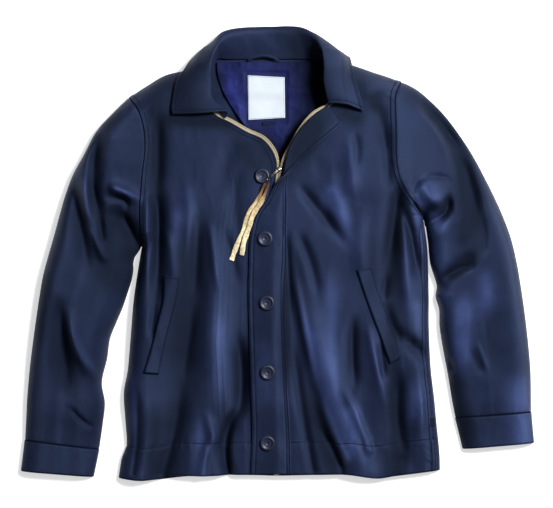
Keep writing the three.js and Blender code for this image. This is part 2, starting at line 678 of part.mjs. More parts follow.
function facing(line, hand) {
  const rows = FACING_TO_ROW - FACING_FROM_ROW;
  return sheetAround(2, rows, TRIM_THICK, (u, v) => {
    const share = mix(FACING_FROM_ROW, FACING_TO_ROW, v) / BODY_ROWS;
    const at = line(share);
    const out = outFrom(line, share, hand);
    const reach = mix(-FACING_HELD, FACING_REACH, u);
    const top = upper(at.x, at.y).point.z - SHELL_THICK - SEAM_GAP - TRIM_THICK / 2;
    const z = top - FACING_DEPTH * u ** 1.5;
    return new THREE.Vector3(at.x + out.x * reach, at.y + out.y * reach, z);
  });
}

add('facing_right', facing(edgeRight, 1), NAVY);
add('facing_left', facing(edgeLeft, -1), NAVY);

// Lining inside the back neck, with its label, size tab and hanger loop
const LINING = { x0: -104, x1: 84, y0: 146, y1: 331, bottomX0: -20, bottomX1: 34 };
const LINING_CLEAR = 1.3;
const LINING_LIFT = 2.2;

function liningZ(x, y) {
  const inside = FALL_ROOM * soften((y - FALL_ROOM_Y) / FALL_ROOM_FADE);
  return SHELL_THICK + LINING_CLEAR + TRIM_THICK / 2 + inside + LINING_LIFT * (1 - Math.cos(x / 16)) / 2;
}

add('back_lining', sheetAround(10, 6, TRIM_THICK, (u, v) => {
  const narrow = soften(v) ** 1.2;
  const x = mix(mix(LINING.x0, LINING.bottomX0, narrow), mix(LINING.x1, LINING.bottomX1, narrow), u);
  const y = mix(LINING.y1, LINING.y0, v);
  return new THREE.Vector3(x, y, liningZ(x, y));
}), LINING_BLUE);

const LABEL = table('x0 y0 x1 y1', [-51, 308, 12, 305], [-50, 232, 13, 236]);
const SIZE_TAB = table('x0 y0 x1 y1', [-26, 229, -2.5, 230.5], [-26, 222, -2.5, 223.5]);
const LABEL_LIFT = 0.85;

function labelOn(rows, across, down) {
  return sheetAround(across, down, LABEL_THICK, (u, v) => {
    const line = along(rows, v);
    const [x, y] = [mix(line.x0, line.x1, u), mix(line.y0, line.y1, u)];
    return new THREE.Vector3(x, y, liningZ(x, y) + TRIM_THICK / 2 + LABEL_LIFT);
  });
}

add('neck_label', labelOn(LABEL, 4, 3), LABEL_WHITE);
add('size_tab', labelOn(SIZE_TAB, 2, 1), LABEL_WHITE);

const LOOP = table('x y z', [-50, 333, 10], [-40, 338, 12.5], [-24, 341, 14], [-8, 338, 13], [2.5, 333, 10]);
const LOOP_WIDTH = 4;
add('hanger_loop', sheetAround(1, 10, 1.2, (u, v) => {
  const at = along(LOOP, v);
  return new THREE.Vector3(at.x, at.y + LOOP_WIDTH * (u - 0.5), at.z + LOOP_WIDTH * (u - 0.5) * 0.3);
}), LINING_BLUE);

// Trims that lie on the fronts
const TRIM_RISE = TRIM_CLEAR + TRIM_THICK;

function patchOn(rows, across, down, from, to) {
  return wall(across, down, false, (u, v) => {
    const line = along(rows, v);
    return raised(mix(line.x0, line.x1, u), mix(line.y0, line.y1, u), from, to);
  });
}

add('welt_right', patchOn(WELT_RIGHT, 2, 10, TRIM_CLEAR, TRIM_RISE), NAVY);
add('welt_left', patchOn(WELT_LEFT, 2, 8, TRIM_CLEAR, TRIM_RISE), NAVY);

const SIDE_TAB = table('x0 y0 x1 y1', [259.5, -276, 267, -276], [260.5, -291, 268, -291]);
add('side_tab', patchOn(SIDE_TAB, 1, 2, TRIM_CLEAR, TRIM_CLEAR + LABEL_THICK), LABEL_WHITE);

// Buttons: a rim round a dished middle
const BUTTON_PROFILE = [
  [0, 0], [BUTTON_RADIUS - 1, 0], [BUTTON_RADIUS, 1], [BUTTON_RADIUS, BUTTON_HEIGHT - 0.8],
  [BUTTON_RADIUS - 2.6, BUTTON_HEIGHT], [BUTTON_RADIUS - 4, BUTTON_HEIGHT - 0.4],
  [BUTTON_RADIUS - 5.4, BUTTON_HEIGHT - 1.7], [0, BUTTON_HEIGHT - 1.9],
].map(([x, y]) => new THREE.Vector2(x, y));
const BUTTON_SIDES = 16;
const BUTTON_CLEAR = 0.7;

// The point of the placket nearest over a place, away from its two edges
const SEARCH_DOWN = 300;
const SEARCH_ACROSS = 44;
const SEARCH_MARGIN = 6;

function onPlacket(x, y) {
  let best = { miss: Infinity };
  for (let j = 0; j <= SEARCH_DOWN; j += 1) {
    for (let i = SEARCH_MARGIN; i <= SEARCH_ACROSS - SEARCH_MARGIN; i += 1) {
      const place = { share: i / SEARCH_ACROSS, v: j / SEARCH_DOWN };
      const spot = placketSpot(place.share, place.v);
      const miss = Math.hypot(spot.x - x, spot.y - y);
      if (miss < best.miss) best = { miss, ...place };
    }
  }
  return best;
}

function buttonSpot(row, i) {
  if (i === 0) return upper(row.x, row.y);
  const { share, v } = onPlacket(row.x, row.y);
  const point = placketPoint(share, v);
  const across = placketPoint(share + 0.06, v).sub(placketPoint(share - 0.06, v));
  const down = placketPoint(share, v + 0.01).sub(placketPoint(share, v - 0.01));
  const out = across.cross(down).normalize();
  if (out.z < 0) out.negate();
  return { point: point.addScaledVector(out, PLACKET_THICK / 2), out };
}

BUTTONS.forEach((row, i) => {
  const { point, out } = buttonSpot(row, i);
  const geometry = new THREE.LatheGeometry(BUTTON_PROFILE, BUTTON_SIDES);
  const turn = new THREE.Quaternion().setFromUnitVectors(new THREE.Vector3(0, 1, 0), out);
  geometry.applyQuaternion(turn);
  const base = point.addScaledVector(out, BUTTON_CLEAR);
  geometry.translate(base.x, base.y, base.z);
  add(`button_${i + 1}`, geometry, BUTTON_NAVY, 0.4);
});

// Slider and its pull tab: a is along the pull, from the slider's middle
const SLIDER_WIDTH = 8;
const PIVOT_A = 3.6;
const PIVOT_Z = 6.3;
const EYE_RADIUS = 1.7;
const sliderTurn = THREE.MathUtils.degToRad(SLIDER.heading);
const sliderZ = upper(SLIDER.x, SLIDER.y).point.z;

function placeOnSlider(geometry) {
  geometry.rotateZ(sliderTurn);
  geometry.translate(SLIDER.x, SLIDER.y, sliderZ);
  return geometry;
}

const sliderProfile = new THREE.Shape([
  [-4.8, 0.3], [4.8, 0.3], [4.8, 5], [2.6, 5], [1.4, 3.6], [-3.4, 3.6], [-4.8, 2.4],
].map(([a, z]) => new THREE.Vector2(a, z)));
const sliderBody = new THREE.ExtrudeGeometry(sliderProfile, { depth: SLIDER_WIDTH, bevelEnabled: false });
sliderBody.translate(0, 0, -SLIDER_WIDTH / 2);
sliderBody.rotateX(Math.PI / 2);
add('zip_slider', placeOnSlider(sliderBody), STEEL, 0.3, 0.9);

const pullShape = new THREE.Shape();
pullShape.moveTo(-0.4, -PULL_WIDTH / 2);
pullShape.lineTo(PULL_LENGTH - PULL_WIDTH / 2, -PULL_WIDTH / 2);
pullShape.absarc(PULL_LENGTH - PULL_WIDTH / 2, 0, PULL_WIDTH / 2, -Math.PI / 2, Math.PI / 2, false);
pullShape.lineTo(-0.4, PULL_WIDTH / 2);
const eye = new THREE.Path();
eye.absarc(PULL_LENGTH - PULL_WIDTH / 2 - 0.6, 0, EYE_RADIUS, 0, 2 * Math.PI, true);
pullShape.holes.push(eye);
const pullBody = new THREE.ExtrudeGeometry(pullShape, {
  depth: PULL_THICK, bevelEnabled: false, curveSegments: 8,
});
pullBody.translate(PIVOT_A, 0, PIVOT_Z - PULL_THICK / 2);
add('zip_pull', placeOnSlider(pullBody), STEEL, 0.3, 0.9);

// Lace: two flat strands from the eye of the pull, each to its free end, the short one uppermost
// where they cross
const LACE_LONG = table('x y lift',
  [-20.5, 122.5, 7], [-24, 116, 5.5], [-28, 107, 2.6], [-32, 97, 1.5], [-38, 87, 1.5], [-46, 76, 1.5],
  [-51, 66, 1.5], [-54, 55, 1.5], [-57, 44, 1.5], [-61, 34, 1.5], [-66, 25, 1.5], [-70, 15, 1.5],
  [-74, 4, 1.5], [-78, -8, 1.5]);
const LACE_SHORT = table('x y lift',
  [-13.8, 122.5, 10], [-17, 116, 8.6], [-20.5, 107, 6], [-25, 97, 4.6], [-31, 86, 4.3], [-38, 75, 4.2],
  [-43, 65, 4.2], [-46.5, 54, 4.2], [-50, 43, 4.2], [-53.5, 33, 4.2], [-57, 23, 4.2], [-59, 12, 3.4],
  [-60.5, 1, 2.2]);
const LACE_SECTION = 8;
const LACE_STEPS = 20;

function lace(rows) {
  const points = rows.map(({ x, y, lift }) => new THREE.Vector3(x, y, upper(x, y).point.z + lift));
  const section = new THREE.Shape(Array.from({ length: LACE_SECTION }, (_, i) => {
    const turn = 2 * Math.PI * (i + 0.5) / LACE_SECTION;
    return new THREE.Vector2(LACE_THICK / 2 * Math.cos(turn), LACE_WIDTH / 2 * Math.sin(turn));
  }));
  const extrudePath = new THREE.CatmullRomCurve3(points);
  return new THREE.ExtrudeGeometry(section, { steps: LACE_STEPS, extrudePath, bevelEnabled: false });
}

add('lace_long', lace(LACE_LONG), LACE_TAN);
add('lace_short', lace(LACE_SHORT), LACE_TAN);

export default garment;
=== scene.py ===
"""Utility jacket, laid on its back: cloth shells, stitching, zip, buttons, lace and looks.

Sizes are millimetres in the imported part's frame until mesh() turns them into metres.
Right and left are the wearer's.
"""
import json
import math

import bpy
import numpy as np
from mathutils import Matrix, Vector

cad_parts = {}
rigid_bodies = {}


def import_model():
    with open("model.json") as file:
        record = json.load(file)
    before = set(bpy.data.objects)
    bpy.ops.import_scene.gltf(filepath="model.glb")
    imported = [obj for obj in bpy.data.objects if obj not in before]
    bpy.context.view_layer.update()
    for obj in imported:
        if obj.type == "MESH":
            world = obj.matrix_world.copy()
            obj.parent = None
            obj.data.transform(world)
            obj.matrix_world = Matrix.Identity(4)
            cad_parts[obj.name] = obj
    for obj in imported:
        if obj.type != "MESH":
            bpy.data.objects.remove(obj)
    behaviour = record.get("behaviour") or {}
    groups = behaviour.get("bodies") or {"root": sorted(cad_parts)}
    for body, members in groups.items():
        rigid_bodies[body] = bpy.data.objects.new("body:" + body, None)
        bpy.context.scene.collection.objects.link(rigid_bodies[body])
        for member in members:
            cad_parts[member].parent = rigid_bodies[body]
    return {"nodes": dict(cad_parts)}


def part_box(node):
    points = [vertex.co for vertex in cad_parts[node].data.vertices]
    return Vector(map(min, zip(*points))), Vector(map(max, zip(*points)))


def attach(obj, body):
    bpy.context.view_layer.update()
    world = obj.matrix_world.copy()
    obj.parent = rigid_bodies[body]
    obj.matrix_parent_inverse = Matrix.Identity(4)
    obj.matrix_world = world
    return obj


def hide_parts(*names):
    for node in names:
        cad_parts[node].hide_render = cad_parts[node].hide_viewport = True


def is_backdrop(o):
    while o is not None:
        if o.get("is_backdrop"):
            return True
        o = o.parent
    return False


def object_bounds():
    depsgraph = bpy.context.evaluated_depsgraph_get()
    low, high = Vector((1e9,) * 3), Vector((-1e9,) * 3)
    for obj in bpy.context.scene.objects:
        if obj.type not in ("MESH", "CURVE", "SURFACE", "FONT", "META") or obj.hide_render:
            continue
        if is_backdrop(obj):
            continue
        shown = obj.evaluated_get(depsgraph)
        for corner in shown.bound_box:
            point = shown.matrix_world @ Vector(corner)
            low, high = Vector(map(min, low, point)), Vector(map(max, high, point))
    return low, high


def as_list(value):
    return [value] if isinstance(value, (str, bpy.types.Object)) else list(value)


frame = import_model()
cad_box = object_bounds()

MM = 0.001
JACKET = "jacket"
PULL = "pull"

# Cloth
SHELL_THICK = 1.5
TRIM_THICK = 1.6
PLACKET_THICK = 1.8
COLLAR_THICK = 1.7
LABEL_THICK = 0.5
SEAM_GAP = 0.35
FOLD_HEIGHT = 3.5
EDGE_RISE = 34
EDGE_SPREAD = 10
RIGHT_SIDE_UNDER = 20
LEFT_SIDE_OVER = 12
FALL_ROOM = 2.6
FALL_ROOM_Y = 262
FALL_ROOM_X = 168
FALL_ROOM_FADE = 20

# The photograph's frame on the surface, and the camera's height over it
VIEW_WIDTH = 940
VIEW_CENTRE = (-1.7, 3)
CAMERA_HEIGHT = 3400
VIEW_PLANE = 25
SENSOR = 36


def table(columns, text):
    """Rows of numbers as one array a column; a value that is left out at a row's end is 0."""
    rows = [row.split() for row in text.replace("\n", ",").split(",") if row.strip()]
    return {name: np.array([float(row[i]) if i < len(row) else 0.0 for row in rows])
            for i, name in enumerate(columns.split())}


LOFT = table("y height", """
-390 15, -320 18, -240 26, -100 34, 100 36, 250 33, 340 30""")
SHOULDER_RIGHT = table("x y", """
-105 336, -149 319, -191 309, -222 291""")
SHOULDER_LEFT = table("x y", """
99 336, 128 326, 160 315, 188 306""")
SLEEVE_RIGHT = table("outX outY inX inY", """
-254 270 -232 15, -281 244 -236 9, -310 212 -240 3, -332 171 -244 -4, -350 138 -246 -14, -363 103 -246 -25
-372 72 -249 -42, -382 35 -256 -64, -392 0 -264 -88, -401 -34 -275 -114, -408 -75 -286 -142
-416 -130 -291 -176, -423 -185 -300 -216, -428 -240 -295 -252, -430 -280 -299 -290, -432 -314 -305 -330""")
CUFF_RIGHT = table("outX outY inX inY", """
-432 -314.4 -305 -330.4, -435 -341 -310 -354, -438.5 -368 -315 -378""")
SLEEVE_LEFT = table("outX outY inX inY", """
212 297 249 66, 238 284 252.3 58, 264 262 253.6 47, 288 237 255.2 34, 312 205 257.2 19, 334 171 258.6 2
354 134 261 -15, 372 98 267 -34, 387 64 272 -52, 400 28 270 -70, 410 -15 276 -92, 416 -50 277 -122
423 -98 283 -160, 429 -150 292 -208, 433 -200 298 -245, 434 -266 304 -276""")
CUFF_LEFT = table("outX outY inX inY", """
434 -266.4 304 -276.4, 436 -293 311 -304, 438.5 -320 317 -330""")
SIDE_RIGHT = table("x y", """
-232 15, -237 -14, -246 -75, -251 -135, -256 -194, -263 -235, -260 -285, -258 -323, -266 -348, -271 -380""")
SIDE_LEFT = table("x y", """
249 66, 256 15, 258 -30, 259 -75, 259 -120, 262 -190, 268 -242, 272 -285, 277 -335, 278 -366""")
ARMHOLE_RIGHT = table("x y", """
-254 270, -237 248, -227 215, -225 180, -229 145, -232 110, -234 75, -233 45, -232 15""")
ARMHOLE_LEFT = table("x y", """
212 297, 201 275, 200 245, 201 210, 201 178, 204 147, 213 118, 229 93, 249 66""")
NECK_EDGE_RIGHT = table("x y", """
-105 336, -119 309, -125 282, -121 258, -104 238, -80 226, -52 210, -26 198, -10 180, -2 160, -2 140""")
FRONT_EDGE_RIGHT = table("x y", """
-2 140, -8 90, -13 20, -16 -60, -16 -110, -12 -200, -9 -290, -6 -375""")
NECK_EDGE_LEFT = table("x y", """
99 336, 104 310, 105 284, 99 263, 86 252, 64 240, 45 219, 31 196, 19 174, 10 156, 6 138""")
FRONT_EDGE_LEFT = table("x y", """
6 138, 0 90, -5 20, -8 -60, -8 -110, -4 -200, -1 -290, 2 -375""")
HEM_RIGHT = table("x y", """
-271 -380, -234 -384, -200 -381, -180 -376, -120 -376, -64 -374, -6 -375""")
HEM_LEFT = table("x y", """
2 -375, 60 -374, 120 -374, 169 -380, 200 -376, 240 -371, 278 -366""")
HEM_BACK = table("x y", """
-271 -380, -225 -384.5, -160 -378, -60 -372, 60 -371, 160 -375, 278 -366""")
# Ridges and troughs, as in the CAD: three points that each runs through, its width and its height, and the
# share of that height at its start and end
FOLDS = table("x0 y0 x1 y1 x2 y2 wide lift start end", """
-222 125 -222 30 -226 -80 12 5
-207 130 -202 20 -215 -140 13 -11
-205 250 -204 170 -207 100 14 -6 0 0.5
-133 100 -140 -75 -196 -372 26 -8 0 1
-118 70 -108 -75 -112 -300 24 6
-68 -120 -62 -220 -66 -290 13 -8
-60 -262 -92 -312 -84 -376 11 -8 0 1
-228 -205 -222 -290 -232 -370 22 5 0 1
-290 225 -312 118 -290 15 12 -12
-314 170 -324 95 -286 -20 12 6
-351 135 -340 50 -316 -50 14 -6
-376 -60 -370 -143 -352 -250 22 -8
-353 -80 -346 -143 -303 -214 13 5
-288 84 -264 56 -240 24 16 -12 0 0.6
-291 122 -265 110 -240 98 11 7 0 0.6
265 258 318 145 336 0 17 -13 0.2 0
234 130 258 112 280 66 18 9
290 108 284 74 256 55 10 -9 0 0.3
338 8 310 -20 268 -48 12 -7 0 0.5
378 -75 361 -143 378 -211 22 -5
206 140 196 50 180 -85 15 -11
211 100 232 10 243 -55 12 -8
222 72 216 -7 226 -126 11 6
192 -122 222 -148 247 -170 11 -8 0 0.5
34 30 32 -109 95 -352 18 -7 0 1
34 -30 80 -195 148 -366 22 7 0 1
130 -90 127 -164 133 -232 12 -6
156 -115 168 -190 188 -275 14 5
208 -185 203 -260 212 -345 16 -9 0 0.5
98 214 120 150 112 70 34 4
165 268 175 220 180 165 14 -5""")
# The flap from its top down: its fold's line, the direction across it and its width, and how far and where
# its section bends
PLACKET = table("x y heading width bend at", """
97 236 124 68 183 24, 78 224 132 71 183 24, 60 206 140 69 183 24, 42 180 150 62 183 24, 28 158 162 42 180 17
19 140 174 24 150 11, 16 120 180 22 30 10, 16 95 180 33 0 20, 16 66 180 53 0 20, 15 30 180 61 0 20
14 -8 180 62 0 20, 12 -60 180 61 0 20, 13 -125 180 61 0 20, 17 -228 180 62 0 20, 21 -296 180 64 0 20
23 -372 180 69 0 20""")
# The collar's section from the right front end to the left: seam, roll, turn and edge
COLLAR = table("seamX seamY seamZ rollX rollY rollZ turnX turnY turnZ edgeX edgeY edgeZ tuck", """
-88 233 36 -86 244 42 -132 241 45 -178 240 38 0
-117 260 36 -111 266 46 -144 266 46 -179 256 38 0
-121 285 34 -113 295 48 -140 297 46 -171 295 36 0
-117 306 31 -113 319 49 -135 325 42 -158 317 27 0
-110 323 25 -110 338 46 -130 346 28 -148 334 9 0.2
-107 332 18 -106 347 42 -124 355 22 -141 336 1 0.7
-101 337 11 -101 357 36 -113 362 17 -126 312 1 1
-84 336 7 -88 371 24 -93 377 12 -93 303 1 1
-47 336 6 -54 378 17 -55 382.5 9 -50 300 1 1
-1 336 6 -1 379.5 16 -1 384 9 -1 299 1 1
45 336 6 38 379 18 38 383.5 10 45 302 1 1
72 336 8 64 367 30 66 374 14 82 309 1 1
90 337 12 72 356 42 90 360 22 110 316 1 1
97 331 18 75 350 45 99 353 26 121 337 1 0.7
100 322 25 77 342 47 105 344 32 125 334 9 0.2
104 302 31 79 319 49 108 318 42 129 306 31 0
104 283 34 79 295 48 110 293 45 136 283 37 0
97 264 36 83 275 46 114 270 45 142 262 38 0
88 254 37 89 258 43 118 256 45 146 245 38 0""")
WELT_RIGHT = table("x0 y0 x1 y1", """
-191 -34 -167 -38, -193 -72 -172 -75, -201 -106 -181 -110, -209 -138 -189 -140, -218 -170 -196 -172
-227 -199 -202 -201""")
WELT_LEFT = table("x0 y0 x1 y1", """
135 -24 159 -21, 147 -62 170 -60, 162 -104 184 -98, 178 -146 198 -138, 191 -183 209 -173""")
BUTTONS = table("x y", """
-26 135, -21 29, -18 -80, -17 -198, -17 -319""")
LABEL = table("x0 y0 x1 y1", """
-51 308 12 305, -50 232 13 236""")
SIZE_TAB = table("x0 y0 x1 y1", """
-26 229 -2.5 230.5, -26 222 -2.5 223.5""")
LOOP = table("x y z", """
-50 333 10, -40 338 12.5, -24 341 14, -8 338 13, 2.5 333 10""")
SIDE_TAB = table("x0 y0 x1 y1", """
259.5 -276 267 -276, 260.5 -291 268 -291""")
LACE_LONG = table("x y lift", """
-20.5 122.5 7, -24 116 5.5, -28 107 2.6, -32 97 1.5, -38 87 1.5, -46 76 1.5, -51 66 1.5, -54 55 1.5
-57 44 1.5, -61 34 1.5, -66 25 1.5, -70 15 1.5, -74 4 1.5, -78 -8 1.5""")
LACE_SHORT = table("x y lift", """
-13.8 122.5 10, -17 116 8.6, -20.5 107 6, -25 97 4.6, -31 86 4.3, -38 75 4.2, -43 65 4.2, -46.5 54 4.2
-50 43 4.2, -53.5 33 4.2, -57 23 4.2, -59 12 3.4, -60.5 1 2.2""")


# Smaller folds that the CAD leaves out
FINE_FOLDS = table("x0 y0 x1 y1 x2 y2 wide lift start end", """
-222 120 -221 60 -224 -75 5 3.5
-208 112 -203 44 -207 -75 7 -6
-207 -75 -212 -112 -217 -145 6 -4
-204 248 -203 170 -206 95 8 -4
-133 95 -138 -10 -141 -75 9 -5
-141 -75 -152 -150 -161 -211 9 -5
-161 -211 -176 -300 -196 -372 10 -5 0 1
-118 69 -108 0 -98 -74 7 4
-125 -256 -112 -300 -97 -332 9 4
-94 52 -78 0 -64 -58 8 -3.5
-74 -126 -60 -200 -70 -290 9 -6
-55 -254 -84 -296 -84 -368 7 -7 0 1
-102 -300 -120 -330 -128 -372 8 4 0 1
-293 221 -318 140 -300 73 7 -9
-300 73 -300 40 -293 20 6 -7
-314 164 -325 98 -309 47 6 6
-309 47 -300 10 -286 -14 7 6
-351 130 -338 73 -317 -45 8 -5
-375 -63 -364 -150 -357 -245 9 -6
-357 -252 -338 -276 -319 -290 4 -5 0 0.6
-353 -87 -338 -160 -300 -215 8 5
-302 98 -260 95 -264 74 6 -7
-264 74 -252 50 -236 10 6 -6 0 0.6
-291 117 -265 110 -241 98 6 6 0 0.6
234 265 276 222 310 180 10 -7 0.2 0
310 180 330 120 342 60 9 -7
342 86 350 30 341 -7 8 -5
238 116 262 94 283 74 10 5
222 116 263 134 302 124 4 -4
286 105 288 78 256 57 5 -8 0 0.3
229 95 238 78 250 66 4 -6 0.3 0.6
276 -46 306 -24 344 -16 6 -6 0.4 0
336 -143 348 -172 356 -198 3 3
322 -150 338 -182 346 -206 7 -4
290 -177 296 -190 292 -198 5 -6 0.6 0
208 129 200 61 188 -24 8 -8
188 -24 182 -60 183 -75 7 -6
183 -78 198 -125 214 -140 7 -7
214 -140 236 -155 247 -168 6 -7 0 0.5
208 95 228 30 240 -50 7 -7
122 214 128 150 118 96 12 4
16 44 18 -20 24 -126 5 -5
24 -143 38 -240 60 -365 8 -6 0 1
25 -6 42 -110 69 -236 7 6
69 -236 88 -290 115 -347 8 5 0 1
30 44 54 -6 72 -82 8 -6
130 -96 128 -164 133 -230 6 -5
152 -109 164 -170 188 -270 7 4
171 -136 178 -180 180 -218 6 -5
210 -188 204 -260 214 -325 8 -6 0 0.5
106 -216 132 -268 156 -330 7 4.5 0 1
238 -202 244 -260 240 -312 9 4 0 0.5
-160 150 -150 60 -158 -20 10 2.5
-196 60 -180 0 -176 -60 8 2.5
60 180 84 100 70 20 12 -3
-60 170 -72 90 -60 20 12 -3
150 96 140 20 152 -60 12 3
60 -280 96 -330 110 -370 6 -4 0 1
-240 -215 -238 -300 -246 -370 6 -4 0 1
30 128 72 74 132 2 9 -7
76 162 94 94 128 24 16 5
127 214 134 180 128 136 8 -5
239 268 286 221 320 163 9 -8
176 240 186 170 186 100 8 -5
-60 210 -90 150 -84 96 16 -3""")

# Painted light and shade on the cloth, such as the shadow under the collar's leaves: strokes through three
# points, negative where it is darker
PAINTED_SHADING_STROKES = table("x0 y0 x1 y1 x2 y2 wide lift start end", """
-206 307 -205 190 -208 95 14 -1.1 0 0.5
-304 210 -285 232 -258 252 14 -0.8
-295 120 -285 10 -281 -90 24 -0.9
-248 62 -246 0 -246 -112 16 -1.3 0.5 0
-145 52 -162 -75 -179 -255 20 -0.9
14 -20 14 -130 16 -250 8 -1.7
46 -205 69 -296 98 -381 15 -1 0 1
89 239 44 185 13 137 20 -1.1 0.5 0.5
112 312 136 300 172 280 20 -0.8 0.5 0.2
108 250 125 238 158 226 14 -0.9 0.6 0
164 285 166 262 160 235 14 -1
205 282 238 268 262 248 16 -0.7 0 0.5
205 100 195 -75 203 -347 14 -0.9 0 0.6
205 -290 205 -335 205 -374 14 -0.9 0 1
262 262 314 170 324 30 17 -1.3 0.6 0
310 66 316 40 312 4 12 -1.3 0.2 0
320 150 330 80 336 14 20 -0.9 0.2 0.4
334 10 310 -20 280 -44 11 -1.2 0.4 0.4
290 -196 302 -240 314 -296 16 -1.2 0 1
312 -286 318 -306 322 -326 18 -0.7 1 1
252 76 268 84 284 92 7 -1 0.6 0
-388 -10 -400 -90 -402 -170 15 -0.8
-360 -150 -362 -200 -363 -245 13 -0.6
-208 -215 -211 -300 -213 -373 13 -0.7 0 1
-182 232 -130 230 -84 226 12 -1.6 0.8 0.8
-68 204 -50 170 -20 128 15 -0.8 0.4 0.4
164 56 160 -20 164 -95 15 -0.6
16 388 44 360 60 312 26 -1.2 0.6 0.6
-150 330 -168 290 -150 262 34 -0.9 0.8 0.8
-98 318 -100 300 -96 282 14 -0.6 0.2 0.2
46 322 60 270 40 190 24 -1 0.5 0.5
-80 322 -76 280 -50 205 13 0.5 0.5 0.5
-40 214 -22 192 -8 160 16 -0.8 0.5 0.5
60 215 50 200 36 172 14 -0.8 0.5 0.5
-160 130 -158 85 -164 30 20 0.5
40 -68 66 -194 124 -330 15 0.9 0 0.6
92 128 88 100 92 66 14 0.6
89 0 92 -110 90 -240 15 0.7
89 -160 90 -205 90 -262 14 0.5
124 -245 128 -280 132 -325 14 0.7
-99 -60 -98 -180 -98 -285 12 0.6
-132 -250 -133 -310 -135 -373 12 0.8 0 1
-23 -120 -23 -190 -23 -268 15 0.4
256 86 272 62 278 30 13 1 0.2 0
276 58 278 -40 276 -130 15 0.8 0.4 0
238 56 240 20 238 -20 12 0.6
316 -36 314 -130 310 -226 18 1.2
354 -8 354 -60 351 -125 16 0.9
402 -185 412 -250 418 -325 24 0.9 0 1
239 135 240 85 236 30 12 0.7
235 -66 238 -100 236 -150 12 0.6
235 -196 234 -250 232 -300 15 0.7
96 130 112 60 128 -5 16 0.7
-173 98 -172 50 -173 4 12 0.5
-247 -170 -247 -250 -246 -335 10 0.7""")


# ---- camera and light: metres, watts

SKY_COLOUR = (0.86, 0.93, 1, 1)
SKY_STRENGTH = 0.1
KEY_PLACE = (1.35, 0.95, 1.9)
KEY_SIZE = 0.7
KEY_POWER = 106


def add_object(name, data):
    made = bpy.data.objects.new(name, data)
    bpy.context.scene.collection.objects.link(made)
    return made


def make_camera():
    data = bpy.data.cameras.new("camera")
    data.sensor_fit = "HORIZONTAL"
    data.sensor_width = SENSOR
    data.lens = SENSOR * (CAMERA_HEIGHT - VIEW_PLANE) / VIEW_WIDTH
    camera = add_object("camera", data)
    camera.location = (VIEW_CENTRE[0] * MM, VIEW_CENTRE[1] * MM, CAMERA_HEIGHT * MM)
    bpy.context.scene.camera = camera


def make_light():
    world = bpy.data.worlds.new("studio")
    bpy.context.scene.world = world
    world.use_nodes = True
    background = world.node_tree.nodes["Background"].inputs
    background["Color"].default_value = SKY_COLOUR
    background["Strength"].default_value = SKY_STRENGTH
    data = bpy.data.lights.new("key", "AREA")
    data.size = KEY_SIZE
    data.energy = KEY_POWER
    light = add_object("key", data)
    light.location = KEY_PLACE
    light.rotation_euler = (-Vector(KEY_PLACE)).to_track_quat("-Z", "Y").to_euler()


# ---- lines and surfaces


def mix(a, b, t):
    return a + (b - a) * t


def soften(t):
    s = np.clip(t, 0, 1)
    return s * s * (3 - 2 * s)


def ease_ends(t):
    """Spaces samples more closely towards both ends."""
    return t - 0.6 * np.sin(2 * np.pi * t) / (2 * np.pi)


def bell(x, wide, at=0):
    return np.exp(-((x - at) / wide) ** 2)


def step_of(t, last):
    """The step of a line that a share falls in, and how far along the step it is."""
    place = np.clip(t, 0, 1) * last
    i = np.minimum(np.floor(place).astype(int), last - 1)
    return i, place - i


def cubic(p, q, r, s, f):
    """From q to r smoothly, where p and s are the values beyond them."""
    return q + 0.5 * f * (r - p + f * (2 * p - 5 * q + 4 * r - s + f * (3 * (q - r) + s - p)))


def along(rows, t):
    """A smooth line through every row of a table, t from 0 to 1."""
    last = len(next(iter(rows.values()))) - 1
    i, f = step_of(t, last)
    return {name: cubic(*(values[np.clip(i + k, 0, last)] for k in (-1, 0, 1, 2)), f)
            for name, values in rows.items()}


def run_along(points):
    """Distance along a line of points from its first."""
    return np.concatenate([[0], np.cumsum(np.linalg.norm(np.diff(points, axis=0), axis=1))])


def sample(wanted, run, line):
    """A line's points, or its directions, at given distances along it."""
    return np.stack([np.interp(wanted, run, values) for values in line.T], -1)


def join(*parts):
    return {name: np.concatenate([part[name] for part in parts]) for name in ("x", "y")}


def edge_of(rows, x_name, y_name):
    return {"x": rows[x_name], "y": rows[y_name]}


def points_of(rows, per_row=8):
    line = along(rows, np.linspace(0, 1, (len(rows["x"]) - 1) * per_row + 1))
    return np.stack([line["x"], line["y"]], -1)


def outline_steps(rows, side):
    """Each step of a line: its start, length and direction, and the direction inward."""
    points = points_of(rows) @ [1, 1j]
    step = np.diff(points)
    direction = step / np.abs(step)
    return list(zip(points[:-1], np.abs(step), direction, 1j * direction * side))


def sleeve_outline(shoulder, rows, cuff, side):
    ends = {name: values[1:] for name, values in cuff.items()}
    outer = join(shoulder, edge_of(rows, "outX", "outY"), edge_of(ends, "outX", "outY"))
    inner = join(edge_of(rows, "inX", "inY"), edge_of(ends, "inX", "inY"))
    return outline_steps(outer, side) + outline_steps(inner, -side)


OUTLINE = (sleeve_outline(SHOULDER_RIGHT, SLEEVE_RIGHT, CUFF_RIGHT, 1) + outline_steps(SIDE_RIGHT, 1)
           + sleeve_outline(SHOULDER_LEFT, SLEEVE_LEFT, CUFF_LEFT, -1) + outline_steps(SIDE_LEFT, -1))


def outline_depth(x, y):
    """Distance in from the outline, and 0 beyond it."""
    spot = x + 1j * y
    nearest = np.full(x.shape, np.inf)
    depth = np.zeros(x.shape)
    for start, length, direction, inward in OUTLINE:
        away = spot - start
        away = away - direction * np.clip((away * direction.conjugate()).real, 0, length)
        distance = np.abs(away)
        better = (distance < nearest) | ((np.abs(distance - nearest) < 1e-6) & (depth == 0))
        inside = (away * inward.conjugate()).real > 0
        depth = np.where(better, np.where(inside, distance, 0), depth)
        nearest = np.where(better, distance, nearest)
    return depth


FOLD_FADE = 0.35
FOLD_STEPS = 8
FOLD_REACH = 3
LATTICE = 97


